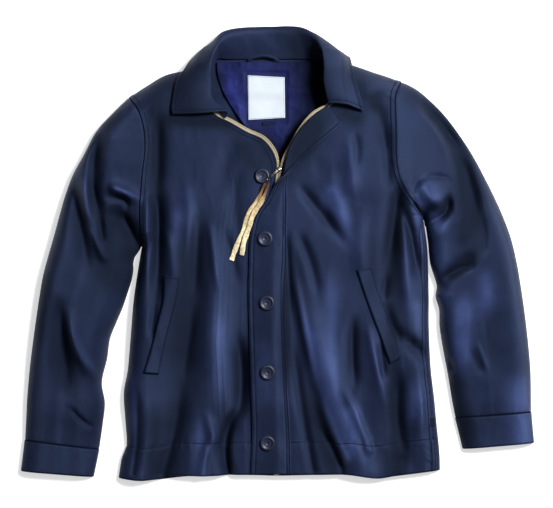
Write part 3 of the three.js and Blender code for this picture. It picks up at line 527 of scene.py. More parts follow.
def add_fold(height, x, y, fold):
    """Adds one fold of a table, its nearest point found on a bend of short steps."""
    t = np.linspace(0, 1, FOLD_STEPS + 1)
    start, through, end = (complex(fold["x" + k], fold["y" + k]) for k in "012")
    middle = 2 * through - (start + end) / 2
    bend = (1 - t) ** 2 * start + 2 * t * (1 - t) * middle + t * t * end
    reach = FOLD_REACH * fold["wide"]
    near = ((x > bend.real.min() - reach) & (x < bend.real.max() + reach)
            & (y > bend.imag.min() - reach) & (y < bend.imag.max() + reach))
    if not near.any():
        return
    spot = x[near] + 1j * y[near]
    nearest = np.full(spot.shape, np.inf)
    place = np.zeros(spot.shape)
    for i, step in enumerate(np.diff(bend)):
        held = np.clip(((spot - bend[i]) / step).real, 0, 1)
        distance = np.abs(spot - bend[i] - step * held)
        better = distance < nearest
        place = np.where(better, (i + held) / FOLD_STEPS, place)
        nearest = np.where(better, distance, nearest)
    first = mix(fold["start"], 1, soften(place / FOLD_FADE))
    second = mix(fold["end"], 1, soften((1 - place) / FOLD_FADE))
    height[near] += fold["lift"] * first * second * bell(nearest, fold["wide"])


def add_folds(height, x, y, rows, share=1):
    for k in range(len(rows["x0"])):
        fold = {name: values[k] for name, values in rows.items()}
        add_fold(height, x, y, fold | {"lift": fold["lift"] * share})


def noise(x, y, cell, seed):
    """Smooth lattice noise from 0 to 1."""
    lattice = np.random.default_rng(seed).random((LATTICE, LATTICE))
    u, v = x / cell + 331.7, y / cell + 517.3
    i, j = np.floor(u).astype(int), np.floor(v).astype(int)
    fu, fv = soften(u - i), soften(v - j)
    corner = lambda a, b: lattice[(i + a) % LATTICE, (j + b) % LATTICE]
    return mix(mix(corner(0, 0), corner(1, 0), fu), mix(corner(0, 1), corner(1, 1), fu), fv)


def creases(x, y, cell, seed, stretch=1.0):
    """Sharp-backed wrinkles, from -1 to 0."""
    bent_x = x + 0.6 * cell * (noise(x, y, 1.7 * cell, seed + 7) - 0.5)
    bent_y = y * stretch + 0.6 * cell * (noise(x, y, 1.7 * cell, seed + 9) - 0.5)
    return -np.abs(2 * noise(bent_x, bent_y, cell, seed) - 1)


def loft(x, y):
    """Height of the upper layer before its edges come down, folds included."""
    i = np.clip(np.searchsorted(LOFT["y"], y, side="right"), 1, len(LOFT["y"]) - 1)
    low, high = LOFT["y"][i - 1], LOFT["y"][i]
    height = mix(LOFT["height"][i - 1], LOFT["height"][i], soften((y - low) / (high - low)))
    for rows in (FOLDS, FINE_FOLDS):
        add_folds(height, x, y, rows)
    height += 4 * (noise(x, y, 74, 3) - 0.5) + 1.0 * (creases(x, y, 46, 5, 0.5) + 0.5)
    height += 0.4 * (creases(x, y, 19, 11, 0.6) + 0.5) + 0.12 * (noise(x, y, 5, 17) - 0.5)
    return height


# Painted shade in each fold's trough and painted light on its ridge, as this share of the fold's lift
PAINTED_SHADING_PER_FOLD_LIFT = 1 / 15
PAINTED_SHADING_LOW = -1.4
PAINTED_SHADING_HIGH = 0.9


def painted_shading_at(x, y):
    """Painted light and shade on the cloth at a place: lighter on the folds' ridges, darker in their
    troughs, and along the strokes as each one gives.
    """
    painted_shading = np.zeros(x.shape)
    for rows, share in ((FOLDS, PAINTED_SHADING_PER_FOLD_LIFT), (FINE_FOLDS, PAINTED_SHADING_PER_FOLD_LIFT), (PAINTED_SHADING_STROKES, 1)):
        add_folds(painted_shading, x, y, rows, share)
    return np.clip(painted_shading, PAINTED_SHADING_LOW, PAINTED_SHADING_HIGH)


def fall_room(x, y):
    across = soften((FALL_ROOM_X - np.abs(x)) / FALL_ROOM_FADE)
    return FALL_ROOM * soften((y - FALL_ROOM_Y) / FALL_ROOM_FADE) * across


def arc(t):
    return np.sqrt(np.maximum(0, 1 - (1 - np.minimum(t, 1)) ** 2))


def upper_z(x, y):
    rise = arc(outline_depth(x, y) / EDGE_RISE)
    return FOLD_HEIGHT + fall_room(x, y) + (loft(x, y) - FOLD_HEIGHT) * rise


def lower_z(x, y):
    rise = arc(outline_depth(x, y) / FOLD_HEIGHT)
    return (FOLD_HEIGHT - SEAM_GAP) * (1 - rise) + fall_room(x, y)


def surface(x, y, on_top):
    """Points of the shell's outer face, on the upper layer or the lower one."""
    x, y, on_top = np.broadcast_arrays(x, y, on_top)
    z = np.where(on_top, upper_z(x, y), lower_z(x, y))
    return np.stack([x, y, z], -1)


def evenly(rows):
    """A line measured by its length."""
    points = points_of(rows, 20)
    length = run_along(points)
    return lambda share: {name: np.interp(np.clip(share, 0, 1) * length[-1], length, points[:, k])
                          for k, name in enumerate("xy")}


def backwards(line):
    return lambda share: line(1 - share)


def two_part(first, second):
    """The armhole or neck in the first half, the side or front edge in the second."""
    def line(v):
        upper_half = along(first, ease_ends(np.clip(v * 2, 0, 1)))
        lower_half = along(second, ease_ends(np.clip(v * 2 - 1, 0, 1)))
        return {name: np.where(v <= 0.5, upper_half[name], lower_half[name]) for name in "xy"}
    return line


class Layout:
    """Cloth laid out between two edges: a point so far in from the first, at share v down it."""

    def __init__(self, side, far, top, bottom):
        self.lines = (side, far, top, bottom)

    def width(self, v):
        side, far = self.lines[0](v), self.lines[1](v)
        return np.hypot(far["x"] - side["x"], far["y"] - side["y"])

    def at(self, inward, v):
        side, far, top, bottom = self.lines
        u = np.minimum(inward / self.width(v), 1)
        left, right, high, low = side(v), far(v), top(u), bottom(u)
        result = []
        for name in "xy":
            corners = mix(mix(top(0.0)[name], top(1.0)[name], u),
                          mix(bottom(0.0)[name], bottom(1.0)[name], u), v)
            result.append(mix(left[name], right[name], u) + mix(high[name], low[name], v) - corners)
        return result


def shoulder_line(shoulder, armhole):
    first = {name: values[:1] for name, values in armhole.items()}
    return backwards(evenly(join(shoulder, first)))


side_right = two_part(ARMHOLE_RIGHT, SIDE_RIGHT)
side_left = two_part(ARMHOLE_LEFT, SIDE_LEFT)
edge_right = two_part(NECK_EDGE_RIGHT, FRONT_EDGE_RIGHT)
edge_left = two_part(NECK_EDGE_LEFT, FRONT_EDGE_LEFT)
shoulder_right = shoulder_line(SHOULDER_RIGHT, ARMHOLE_RIGHT)
shoulder_left = shoulder_line(SHOULDER_LEFT, ARMHOLE_LEFT)
NECK_FROM = 0.27
NECK_TO = 0.68


def back_top(share):
    t = (share - NECK_FROM) / (NECK_TO - NECK_FROM)
    left = shoulder_left(share / NECK_FROM)
    right = shoulder_right((1 - share) / (1 - NECK_TO))
    neck = {"x": mix(SHOULDER_LEFT["x"][0], SHOULDER_RIGHT["x"][0], t), "y": SHOULDER_LEFT["y"][0]}
    return {name: np.where(t < 0, left[name], np.where(t > 1, right[name], neck[name])) for name in "xy"}


lay_right = Layout(side_right, edge_right, shoulder_right, evenly(HEM_RIGHT))
lay_left = Layout(side_left, edge_left, shoulder_left, backwards(evenly(HEM_LEFT)))
lay_back = Layout(side_left, side_right, back_top, backwards(evenly(HEM_BACK)))
ROLL_START = 0.09


def roll_at(v):
    roll = soften((v - 0.5) / ROLL_START)
    return roll, np.maximum(EDGE_SPREAD * roll, 0.01)


def in_from_edge(w, spread):
    w = np.abs(w)
    return np.where(w < spread, w * w / (2 * spread), w - spread / 2)


# ---- meshes


def grid(columns, rows):
    """Shares across and down for a grid of points."""
    return np.meshgrid(np.linspace(0, 1, columns + 1), np.linspace(0, 1, rows + 1))


def normals(points, ring=False, facing=1):
    """Unit normals of a grid of points, on the side that faces up over most of it, or down for -1."""
    across = (np.roll(points, -1, 1) - np.roll(points, 1, 1)) if ring else np.gradient(points, axis=1)
    out = np.cross(across, np.gradient(points, axis=0))
    out = out / np.maximum(np.linalg.norm(out, axis=-1, keepdims=True), 1e-9)
    return out if out[..., 2].sum() * facing >= 0 else -out


def upward(out):
    return out * np.where(out[..., 2:] < 0, -1, 1)


def mesh(name, points, faces, material, uv=None, body=JACKET, smooth=True, edge_lightening=None):
    data = bpy.data.meshes.new(name)
    points = off_floor(np.asarray(points, float).reshape(-1, 3)) * MM
    data.from_pydata(points.tolist(), [], faces.tolist() if hasattr(faces, "tolist") else faces)
    data.validate()
    data.update()
    if smooth:
        data.polygons.foreach_set("use_smooth", np.ones(len(data.polygons), bool))
    if uv is not None:
        layer = data.uv_layers.new(name="cloth")
        index = np.zeros(len(data.loops), int)
        data.loops.foreach_get("vertex_index", index)
        layer.data.foreach_set("uv", (np.asarray(uv).reshape(-1, 2)[index] * MM).ravel())
    # Painted light and shade for the navy cloth and the lining, kept as a mesh attribute that their material
    # reads, plus any lighter edge given
    if material in (NAVY, LINING):
        painted_shading = data.attributes.new("painted_shading", "FLOAT", "POINT")
        values = painted_shading_at(points[:, 0] / MM, points[:, 1] / MM)
        if edge_lightening is not None:
            values += np.tile(edge_lightening.ravel(), len(values) // edge_lightening.size)
        painted_shading.data.foreach_set("value", values)
    data.materials.append(material)
    piece = add_object(name, data)
    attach(piece, body)
    return piece


def grid_faces(rows, columns, ring=False):
    """The faces of a grid of points, and the grid of the points' numbers."""
    index = np.arange(rows * columns).reshape(rows, columns)
    if ring:
        index = np.concatenate([index, index[:, :1]], 1)
    corners = (index[:-1, :-1], index[:-1, 1:], index[1:, 1:], index[1:, :-1])
    return np.stack(corners, -1).reshape(-1, 4), index


def wall(name, outer, inner, material, uv=None, ring=False, edge_lightening=None):
    """A closed wall between two grids of points."""
    rows, columns = outer.shape[:2]
    front, index = grid_faces(rows, columns, ring)
    shift = rows * columns
    lines = [index[0][::-1], index[-1]]
    if not ring:
        lines += [index[:, 0], index[:, -1][::-1]]
    rims = [np.stack([line[:-1], line[1:], line[1:] + shift, line[:-1] + shift], -1) for line in lines]
    faces = np.concatenate([front, front[:, ::-1] + shift, *rims])
    points = np.concatenate([outer.reshape(-1, 3), inner.reshape(-1, 3)])
    if signed_volume(points, faces) < 0:
        faces = faces[:, ::-1]
    if uv is not None:
        uv = np.concatenate([uv.reshape(-1, 2)] * 2)
    return mesh(name, points, faces, material, uv, edge_lightening=edge_lightening)


def signed_volume(points, faces):
    p = points[faces]
    return float(np.sum(p[:, 0] * np.cross(p[:, 1], p[:, 2])) + np.sum(p[:, 0] * np.cross(p[:, 2], p[:, 3])))


def off_floor(points):
    return points * [1, 1, 0] + np.maximum(points, 0) * [0, 0, 1]


def cloth(name, outer, thick, material, ring=False, facing=1):
    """A wall from its outer face, with the cloth's own lengths as texture coordinates."""
    inner = outer - normals(outer, ring, facing) * thick
    return wall(name, outer, inner, material, lengths(outer), ring)


def lengths(points):
    """Distance across and down a grid from its middle lines."""
    rows, columns = points.shape[:2]
    across = np.linalg.norm(np.diff(points, axis=1), axis=-1)
    down = np.linalg.norm(np.diff(points, axis=0), axis=-1)
    u = np.concatenate([np.zeros((rows, 1)), np.cumsum(across, 1)], 1)
    v = np.concatenate([np.zeros((1, columns)), np.cumsum(down, 0)], 0)
    return np.stack([u - u[:, columns // 2:columns // 2 + 1], v], -1)


def finish(piece, node_name):
    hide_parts(node_name)
    return piece


# ---- materials


def shader(name, roughness, metallic=0.0):
    material = bpy.data.materials.new(name)
    material.use_nodes = True
    tree = material.node_tree
    bsdf = tree.nodes["Principled BSDF"]
    bsdf.inputs["Roughness"].default_value = roughness
    bsdf.inputs["Metallic"].default_value = metallic
    return material, tree, bsdf


def feed(tree, made, inputs):
    """Sets a node's inputs, or links those that are given a socket."""
    for key, value in inputs.items():
        if isinstance(value, bpy.types.NodeSocket):
            tree.links.new(value, made.inputs[key])
        else:
            made.inputs[key].default_value = value


def node(tree, kind, inputs, **settings):
    """Adds a shader node and returns its outputs."""
    made = tree.nodes.new("ShaderNode" + kind)
    for key, value in settings.items():
        setattr(made, key, value)
    feed(tree, made, inputs)
    return made.outputs


def maths(tree, operation, *values):
    return node(tree, "Math", dict(enumerate(values)), operation=operation)[0]


def patches_of(tree, scale, detail=5, roughness=0.5):
    where = node(tree, "TexCoord", {})["Object"]
    return node(tree, "TexNoise", {"Vector": where, "Scale": scale, "Detail": detail,
                                   "Roughness": roughness})["Fac"]


def bumped(tree, height, strength, distance):
    return node(tree, "Bump", {"Height": height, "Strength": strength, "Distance": distance})["Normal"]


def ramp(tree, source, stops):
    made = tree.nodes.new("ShaderNodeValToRGB")
    feed(tree, made, {"Fac": source})
    elements = made.color_ramp.elements
    while len(elements) < len(stops):
        elements.new(0.5)
    for element, (place, colour) in zip(elements, stops):
        element.position = place
        element.color = (*colour, 1)
    return made.outputs["Color"]


# Painted light and shade scales the cloth's colour by this number to its power
PAINTED_SHADING_STEP = 4.8
WEAVE_TURN = math.radians(58)
WEAVE_BANDS = 3.2


def woven(name, dark, light, roughness, pitch, bump, sheen=0.0, gloss=0.24, patch_scale=14):
    """Cloth: a twill weave from its own lengths, slow changes of colour, small slubs, and the painted light
    and shade of its mesh's attribute.
    """
    material, tree, bsdf = shader(name, roughness)
    place = node(tree, "UVMap", {}, uv_map="cloth")["UV"]
    turned = node(tree, "Mapping", {"Vector": place, "Rotation": (0, 0, WEAVE_TURN)})[0]
    weave = node(tree, "TexWave", {"Vector": turned, "Scale": 1 / (pitch * MM) / WEAVE_BANDS,
                                   "Distortion": 0.6, "Detail": 1.0}, wave_type="BANDS")["Fac"]
    threads = node(tree, "TexNoise", {"Vector": place, "Scale": 900, "Detail": 2})["Fac"]
    patches = maths(tree, "MULTIPLY", patches_of(tree, patch_scale, 6, 0.62), 0.7)
    mottled = maths(tree, "MULTIPLY_ADD", threads, 0.3, patches)
    # Painted light and shade from the mesh: darker colour where it is painted dark, lighter where it is
    # painted light
    painted_shading = node(tree, "Attribute", {}, attribute_name="painted_shading")["Fac"]
    shade = node(tree, "VectorMath", {0: ramp(tree, mottled, [(0.3, dark), (0.72, light)]),
                                      "Scale": maths(tree, "POWER", PAINTED_SHADING_STEP, painted_shading)}, operation="SCALE")[0]
    # Roughness follows the painted light and shade: rougher where it is painted darker
    shading_roughness = node(tree, "MapRange", {"Value": painted_shading, "From Min": PAINTED_SHADING_LOW, "From Max": PAINTED_SHADING_HIGH,
                                     "To Min": min(1, roughness + 0.3), "To Max": roughness - 0.06})[0]
    height = maths(tree, "ADD", weave, threads)
    feed(tree, bsdf, {"Base Color": shade, "Roughness": shading_roughness, "Normal": bumped(tree, height, bump, 0.0004),
                      "Specular IOR Level": gloss, "Specular Tint": (0.35, 0.51, 1, 1),
                      "Sheen Weight": sheen, "Sheen Roughness": 0.4, "Sheen Tint": (0.5, 0.62, 1, 1)})
    return material


def worn(name, dark, light, roughness, metallic, scale):
    """Metal or plastic with a slow change of colour and a fine grain."""
    material, tree, bsdf = shader(name, roughness, metallic)
    patches = patches_of(tree, scale)
    feed(tree, bsdf, {"Base Color": ramp(tree, patches, [(0.35, dark), (0.65, light)]),
                      "Normal": bumped(tree, patches, 0.1, 0.0002)})
    return material


def suede():
    """Tan leather, dark and worn near the zip and pale along the rest."""
    material, tree, bsdf = shader("tan_lace", 0.85)
    place = node(tree, "UVMap", {}, uv_map="cloth")["UV"]
    down = maths(tree, "MULTIPLY", node(tree, "SeparateXYZ", {0: place})["Y"], 8.0)
    base = ramp(tree, down, [(0.04, (0.1, 0.045, 0.02)), (0.17, (0.3, 0.17, 0.08)),
                             (0.3, (0.62, 0.48, 0.26)), (0.75, (0.86, 0.75, 0.5))])
    patches = patches_of(tree, 210)
    shade = ramp(tree, patches, [(0.35, (0.62, 0.55, 0.44)), (0.6, (1, 1, 1))])
    blend = node(tree, "Mix", {0: 1.0, 6: base, 7: shade}, data_type="RGBA", blend_type="MULTIPLY")[2]
    feed(tree, bsdf, {"Base Color": blend, "Normal": bumped(tree, patches, 0.6, 0.0003)})
    return material


make_camera()
make_light()
bpy.context.scene.view_settings.view_transform = "Standard"

NAVY = woven("navy_cotton", (0.0034, 0.005, 0.016), (0.0108, 0.0158, 0.043), 0.49, 0.9, 0.45, 0.03, 0.52)
LINING = woven("blue_lining", (0.003, 0.0035, 0.02), (0.013, 0.015, 0.095), 0.5, 0.5, 0.15, 0.04,
               patch_scale=22)
LABEL_CLOTH = woven("label_white", (0.5, 0.55, 0.6), (0.66, 0.71, 0.75), 0.7, 0.5, 0.15)
DARK_TAB = woven("dark_tab", (0.004, 0.005, 0.012), (0.008, 0.01, 0.022), 0.6, 0.5, 0.15)
TAPE_CLOTH = woven("zip_tape", (0.3, 0.24, 0.15), (0.62, 0.55, 0.4), 0.8, 0.9, 0.4)
THREAD = woven("navy_thread", (0.012, 0.017, 0.044), (0.022, 0.03, 0.07), 0.5, 0.4, 0.1)
BRASS = worn("zip_brass", (0.42, 0.33, 0.17), (0.8, 0.7, 0.48), 0.3, 1, 90)
STEEL = worn("zip_steel", (0.12, 0.1, 0.08), (0.36, 0.32, 0.28), 0.28, 1, 120)
# Dark cloth for strips of painted shadow along seams and stitch rows
SEAM_SHADOW_CLOTH = woven("painted_seam_shadow", (0.0012, 0.0016, 0.004), (0.002, 0.0026, 0.007), 0.8, 0.9, 0.1)
SUEDE = suede()
BUTTON = worn("button_navy", (0.008, 0.01, 0.028), (0.018, 0.023, 0.055), 0.42, 0, 60)


# ---- laces: flat strands from the pull's eye, each to its free end

LACE_WIDTH = 8.4
LACE_NARROW = 4.4
LACE_THICK = 2.2
LACE_SIDES = 16
LACE_RINGS = 170
LACE_LEAN = 16
LACE_WIDENS = 16


def lace_curve(rows, count):
    """Points evenly spaced along a table's smooth line, on the cloth by the row's lift."""
    line = along(rows, np.linspace(0, 1, 40 * len(rows["x"])))
    points = np.stack([line["x"], line["y"], upper_z(line["x"], line["y"]) + line["lift"]], -1)
    run = run_along(points)
    return sample(np.linspace(0, run[-1], count), run, points), run[-1]


def make_lace(name, rows, seed):
    points, length = lace_curve(rows, LACE_RINGS)
    tangent = np.gradient(points, axis=0)
    tangent /= np.linalg.norm(tangent, axis=1, keepdims=True)
    side = np.cross(tangent, [0, 0, 1])
    side /= np.linalg.norm(side, axis=1, keepdims=True)
    up = np.cross(side, tangent)
    s = np.linspace(0, 1, LACE_RINGS)[:, None]
    lean = np.radians(LACE_LEAN * np.sin(2 * np.pi * (s * 3.2 + seed)))
    side, up = side * np.cos(lean) + up * np.sin(lean), up * np.cos(lean) - side * np.sin(lean)
    turn = 2 * np.pi * (np.arange(LACE_SIDES) + 0.5) / LACE_SIDES
    uneven = 1 + 0.07 * np.sin(2 * np.pi * (s * 6 + seed)) + 0.04 * np.sin(2 * np.pi * s * 31)
    width = mix(LACE_NARROW, LACE_WIDTH, soften(s * length / LACE_WIDENS - 1)) * uneven
    flat_x = np.sign(np.cos(turn)) * np.abs(np.cos(turn)) ** 0.55
    flat_y = np.sign(np.sin(turn)) * np.abs(np.sin(turn)) ** 0.8
    outer = (points[:, None] + side[:, None] * (flat_x * width / 2)[..., None]
             + up[:, None] * (flat_y * LACE_THICK / 2)[None, :, None])
    sides, ring = grid_faces(LACE_RINGS, LACE_SIDES, True)
    faces = sides.tolist() + [ring[0][:-1][::-1].tolist(), ring[-1][:-1].tolist()]
    uv = np.stack(np.broadcast_arrays(flat_x * width / 2, s * length), -1)
    piece = mesh(name, outer, faces, SUEDE, uv)
    finish(piece, name)


make_lace("lace_long", LACE_LONG, 0.2)
make_lace("lace_short", LACE_SHORT, 0.7)


# ---- body panels


def uneven_pucker(run, distance, seed):
    """Short uneven wrinkles across a seam, from -1 to 1."""
    size = 0.4 + 1.2 * noise(run, distance, 60, seed + 3)
    return (2 * noise(run, distance * 0.3, 5.5, seed) - 1) * np.minimum(size, 1.2)


def seam_relief(points, distance, run, seed):
    """Lifts a seam's turned allowance, pulls in its stitched lines and puckers the cloth beside it."""
    allowance = soften((10 - distance) / 3) * soften(distance / 1.5)
    pucker = uneven_pucker(run, distance, seed)
    beside = bell(distance, 9, 13)
    lift = 0.9 * allowance * (0.8 + 0.3 * pucker) + 0.45 * pucker * beside
    return points + normals(points) * lift[..., None]


# The power of a front's shares that crowds its columns towards the side seam
CROWDED = 1.12
FRONT_GRID = (150, 230)
BACK_GRID = (60, 120)


def down_lengths(points):
    step = np.linalg.norm(np.diff(points, axis=0), axis=-1)
    return np.concatenate([np.zeros((1, points.shape[1])), np.cumsum(step, 0)], 0)


def front_grid(layout, start):
    """Shares down a front, lengths of cloth in from its fold or seam at the side, and their places."""
    u, v = grid(*FRONT_GRID)
    roll, spread = roll_at(v)
    start = start * roll
    w = start + (layout.width(v) + spread / 2 - start) * u ** CROWDED
    return v, w, in_from_edge(w, spread)


def front_right():
    v, w, inward = front_grid(lay_right, -RIGHT_SIDE_UNDER)
    x0, y0 = lay_back.at(lay_back.width(v) - inward, v)
    x1, y1 = lay_right.at(inward, v)
    return surface(np.where(w < 0, x0, x1), np.where(w < 0, y0, y1), w >= 0), v, w


def front_left():
    v, w, inward = front_grid(lay_left, LEFT_SIDE_OVER + SEAM_GAP)
    x, y = lay_left.at(inward, v)
    return surface(x, y, True), v, w


def back_panel():
    u, v = grid(*BACK_GRID)
    roll, spread = roll_at(v)
    start = -LEFT_SIDE_OVER * roll
    end = lay_back.width(v) + (1 + roll) * spread / 2 - (RIGHT_SIDE_UNDER + SEAM_GAP) * roll
    w = start + (end - start) * ease_ends(u)
    inward = in_from_edge(w, spread)
    x0, y0 = lay_left.at(inward, v)
    x1, y1 = lay_back.at(inward, v)
    return surface(np.where(w < 0, x0, x1), np.where(w < 0, y0, y1), w < 0)


HEM_DEPTH = 57


def hem_relief(points):
    """A turned hem: thicker below its stitched line, and puckered along it."""
    run = down_lengths(points)
    from_hem = run[-1] - run
    across = lengths(points)[..., 0]
    turned = soften((HEM_DEPTH - from_hem) / 3)
    pucker = uneven_pucker(across, from_hem, 31)
    lift = 0.9 * turned - 0.8 * bell(from_hem, 1.6, HEM_DEPTH) + 0.5 * pucker * bell(from_hem, 12, HEM_DEPTH)
    return points + normals(points) * (lift * np.minimum(1, from_hem / 2))[..., None]


def build_front(name, points, seam_distance):
    run = down_lengths(points)
    points = hem_relief(seam_relief(points, seam_distance, run, 41))
    finish(cloth(name + "_cloth", points, SHELL_THICK, NAVY), name)
    return points


points, v, w = front_right()
right_points = build_front("front_right", points, np.where(v < 0.5, w, 99))
points, v, w = front_left()
left_points = build_front("front_left", points, np.where(v < 0.5, w, w - w[:, :1]))
finish(cloth("back_panel_cloth", back_panel(), SHELL_THICK, NAVY, facing=-1), "back_panel")


# ---- sleeves and cuffs

ARMHOLE_REACH = 0.36
RING_TOP = 90
RING_UNDER = 40
SLEEVE_ROWS = 190
CUFF_ROWS = 24


def sleeve_points(rows, armhole, row_count, clear):
    top = ease_ends(np.linspace(0, 1, RING_TOP + 1))
    under = ease_ends(np.linspace(0, 1, RING_UNDER + 1))[::-1][1:-1]
    on_top = np.arange(len(top) + len(under)) < len(top)
    u, v = np.meshgrid(np.concatenate([top, under]), np.linspace(0, 1, row_count + 1))
    on_top = np.broadcast_to(on_top, u.shape)
    rung = along(rows, v)
    start = along(armhole, u)
    hold = np.maximum(0, 1 - v / ARMHOLE_REACH) ** 2
    x, y = (mix(rung["out" + axis], rung["in" + axis], u)
            + hold * (start[axis.lower()] - mix(rows["out" + axis][0], rows["in" + axis][0], u))
            for axis in "XY")
    return surface(x + clear * (1 - v), y, on_top), on_top


def first_rung(rows):
    return {axis.lower(): np.array([rows["out" + axis][0], rows["in" + axis][0]]) for axis in "XY"}


def build_sleeve(name, rows, armhole, row_count, clear, relief):
    points, on_top = sleeve_points(rows, armhole, row_count, clear)
    points = points + normals(points, True) * (relief(points) * on_top)[..., None]
    finish(cloth(name + "_cloth", points, SHELL_THICK, NAVY, True), name)
    return points


def sleeve_relief(points):
    run = down_lengths(points)
    pucker = uneven_pucker(lengths(points)[..., 0], run, 43)
    cap = 0.45 * bell(run, 7, 9) * pucker - 0.9 * bell(run, 2.5)
    end = run[-1] - run
    return cap + 0.4 * bell(end, 7, 7) * pucker - 0.7 * bell(end, 2)


def cuff_relief(points):
    run = down_lengths(points)
    pucker = uneven_pucker(lengths(points)[..., 0], run, 47)
    end = run[-1] - run
    return 0.8 * soften(run / 3) * soften(end / 3) + 0.35 * pucker * bell(run, 7, 8)


build_sleeve("sleeve_right", SLEEVE_RIGHT, ARMHOLE_RIGHT, SLEEVE_ROWS, -SEAM_GAP, sleeve_relief)
build_sleeve("sleeve_left", SLEEVE_LEFT, ARMHOLE_LEFT, SLEEVE_ROWS, SEAM_GAP, sleeve_relief)
cuffs = [build_sleeve(name, rows, first_rung(rows), CUFF_ROWS, 0, cuff_relief)
         for name, rows in (("cuff_right", CUFF_RIGHT), ("cuff_left", CUFF_LEFT))]


# ---- collar

COLLAR_GRID = (60, 260)
COLLAR_CLEAR = 2
TUCKED_Z = 0.92


def collar_middle(u, v):
    row = along(COLLAR, v)
    lines = ("seam", "roll", "turn", "edge")
    last = len(lines) - 1
    i, f = step_of(u, last)
    point = []
    for axis in "XYZ":
        values = np.stack([row[line + axis] for line in lines])
        near = (np.take_along_axis(values, np.clip(i + k, 0, last)[None], 0)[0] for k in (-1, 0, 1, 2))
        point.append(cubic(*near, f))
    x, y, z = point
    past = np.maximum(0, u * 3 - 2)
    tucked = mix(row["turnZ"], TUCKED_Z, 1 - (1 - past) ** 6)
    z = mix(z, tucked, np.where(past > 0, soften(row["tuck"]), 0))
    floor = upper_z(x, y) + COLLAR_CLEAR + COLLAR_THICK / 2
    return np.stack([x, y, np.where(row["tuck"] > 0.1, z, np.maximum(z, floor))], -1)


def sheet_around(node_name, middle, thick, material, edge_lightening=None):
    """A wall half its thickness to each side of a middle surface, in place of a node."""
    out = normals(middle) * thick / 2
    finish(wall(node_name + "_cloth", middle + out, middle - out, material, lengths(middle), edge_lightening=edge_lightening),
           node_name)


def lighter_edge(distance, wide=1.1, lift=0.9):
    """Lighter cloth along an edge."""
    return lift * bell(distance, wide)


def from_edges(u, v, across, down):
    """Distance in from the nearest edge of a piece of about this width and length."""
    return np.minimum(np.minimum(u, 1 - u) * across, np.minimum(v, 1 - v) * down)


def make_collar():
    u, v = grid(*COLLAR_GRID)
    points = collar_middle(u, v)
    size = lengths(points)
    ripple = 0.6 * (noise(size[..., 0], size[..., 1], 16, 51) - 0.5)
    stand = bell(u, 0.16, 0.2) * (2 * noise(size[..., 1], size[..., 0] * 0.3, 11, 57) - 1)
    edge = from_edges(u, v, 110, 600)
    welt = 0.35 * soften((8 - edge) / 2) * soften(edge / 2)
    points = points + normals(points) * (ripple + 0.5 * stand + welt)[..., None]
    points[..., 2] = np.maximum(points[..., 2], TUCKED_Z)
    sheet_around("collar", points, COLLAR_THICK, NAVY, edge_lightening=lighter_edge(edge, 1.6, 0.55))
    return points


collar_points = make_collar()


# ---- placket

PLACKET_GRID = (56, 330)
PLACKET_WIDTH = 65
PLACKET_LENGTH = 600
BEND_RUN = 13
SECTION_STEPS = 24
PLACKET_CLEAR = 1.5
PLACKET_SEAM = 7


def placket_middle(share, v):
    row = along(PLACKET, v)
    step = row["width"] * share / SECTION_STEPS
    across = np.zeros(np.shape(step))
    up = np.zeros(np.shape(step))
    for i in range(SECTION_STEPS):
        s = step * (i + 0.5)
        turn = np.radians(row["bend"] * soften((s - row["at"]) / BEND_RUN + 0.5))
        across = across + step * np.cos(turn)
        up = up + step * np.sin(turn)
    heading = np.radians(row["heading"])
    x, y = row["x"] + across * np.cos(heading), row["y"] + across * np.sin(heading)
    return np.stack([x, y, upper_z(x, y) + PLACKET_CLEAR + PLACKET_THICK / 2 + up], -1)


def make_placket():
    u, v = grid(*PLACKET_GRID)
    points = placket_middle(u, v)
    from_edge = np.minimum(u, 1 - u) * PLACKET_WIDTH
    pucker = uneven_pucker(lengths(points)[..., 1], from_edge, 61)
    hump = 0.9 * np.sin(np.pi * np.clip(u, 0, 1)) ** 0.7
    lift = hump - 0.7 * bell(from_edge, 1.5, PLACKET_SEAM) + 0.35 * bell(from_edge, 7, PLACKET_SEAM) * pucker
    out = normals(points)
    out = out * np.sign(out[:, :1, 2:].mean())
    points = points + out * lift[..., None]
    edge = np.minimum(from_edge, v * PLACKET_LENGTH)
    sheet_around("placket", points, PLACKET_THICK, NAVY, edge_lightening=lighter_edge(edge, 1.4))
    return points


placket_points = make_placket()


# ---- inside the neck

# The facings' and tapes' ends, as rows of the body's 28
BODY_ROWS = 28
FACING_GRID = (14, 90)
FACING_FROM_ROW = 5
FACING_TO_ROW = 11
FACING_REACH = 6.5
FACING_HELD = 2.5
FACING_DEPTH = 16


def out_from(line, v, hand):
    before, after = line(np.maximum(v - 0.004, 0)), line(np.minimum(v + 0.004, 1))
    dx, dy = after["x"] - before["x"], after["y"] - before["y"]
    length = np.hypot(dx, dy)
    return -hand * dy / length, hand * dx / length


def make_facing(name, line, hand):
    u, v = grid(*FACING_GRID)
    share = mix(FACING_FROM_ROW, FACING_TO_ROW, v) / BODY_ROWS
    at = line(share)
    out_x, out_y = out_from(line, share, hand)
    reach = mix(-FACING_HELD, FACING_REACH, u)
    top = upper_z(at["x"], at["y"]) - SHELL_THICK - SEAM_GAP - TRIM_THICK / 2
    z = top - FACING_DEPTH * u ** 1.5 + 0.6 * u * (noise(at["x"], at["y"], 12, 71) - 0.5)
    points = np.stack([at["x"] + out_x * reach, at["y"] + out_y * reach, z], -1)
    sheet_around(name, points, TRIM_THICK, NAVY)


make_facing("facing_right", edge_right, 1)
make_facing("facing_left", edge_left, -1)

LINING_STEPS = 110
LINING_THICK = 0.8
LINING_X = (-104, 84)
LINING_Y = (331, 146)
LINING_BOTTOM_X = (-20, 34)
LINING_CLEAR = 1.3
LINING_LIFT = 2.2
LABEL_LIFT = 0.85
LOOP_WIDTH = 4
LOOP_THICK = 1.2


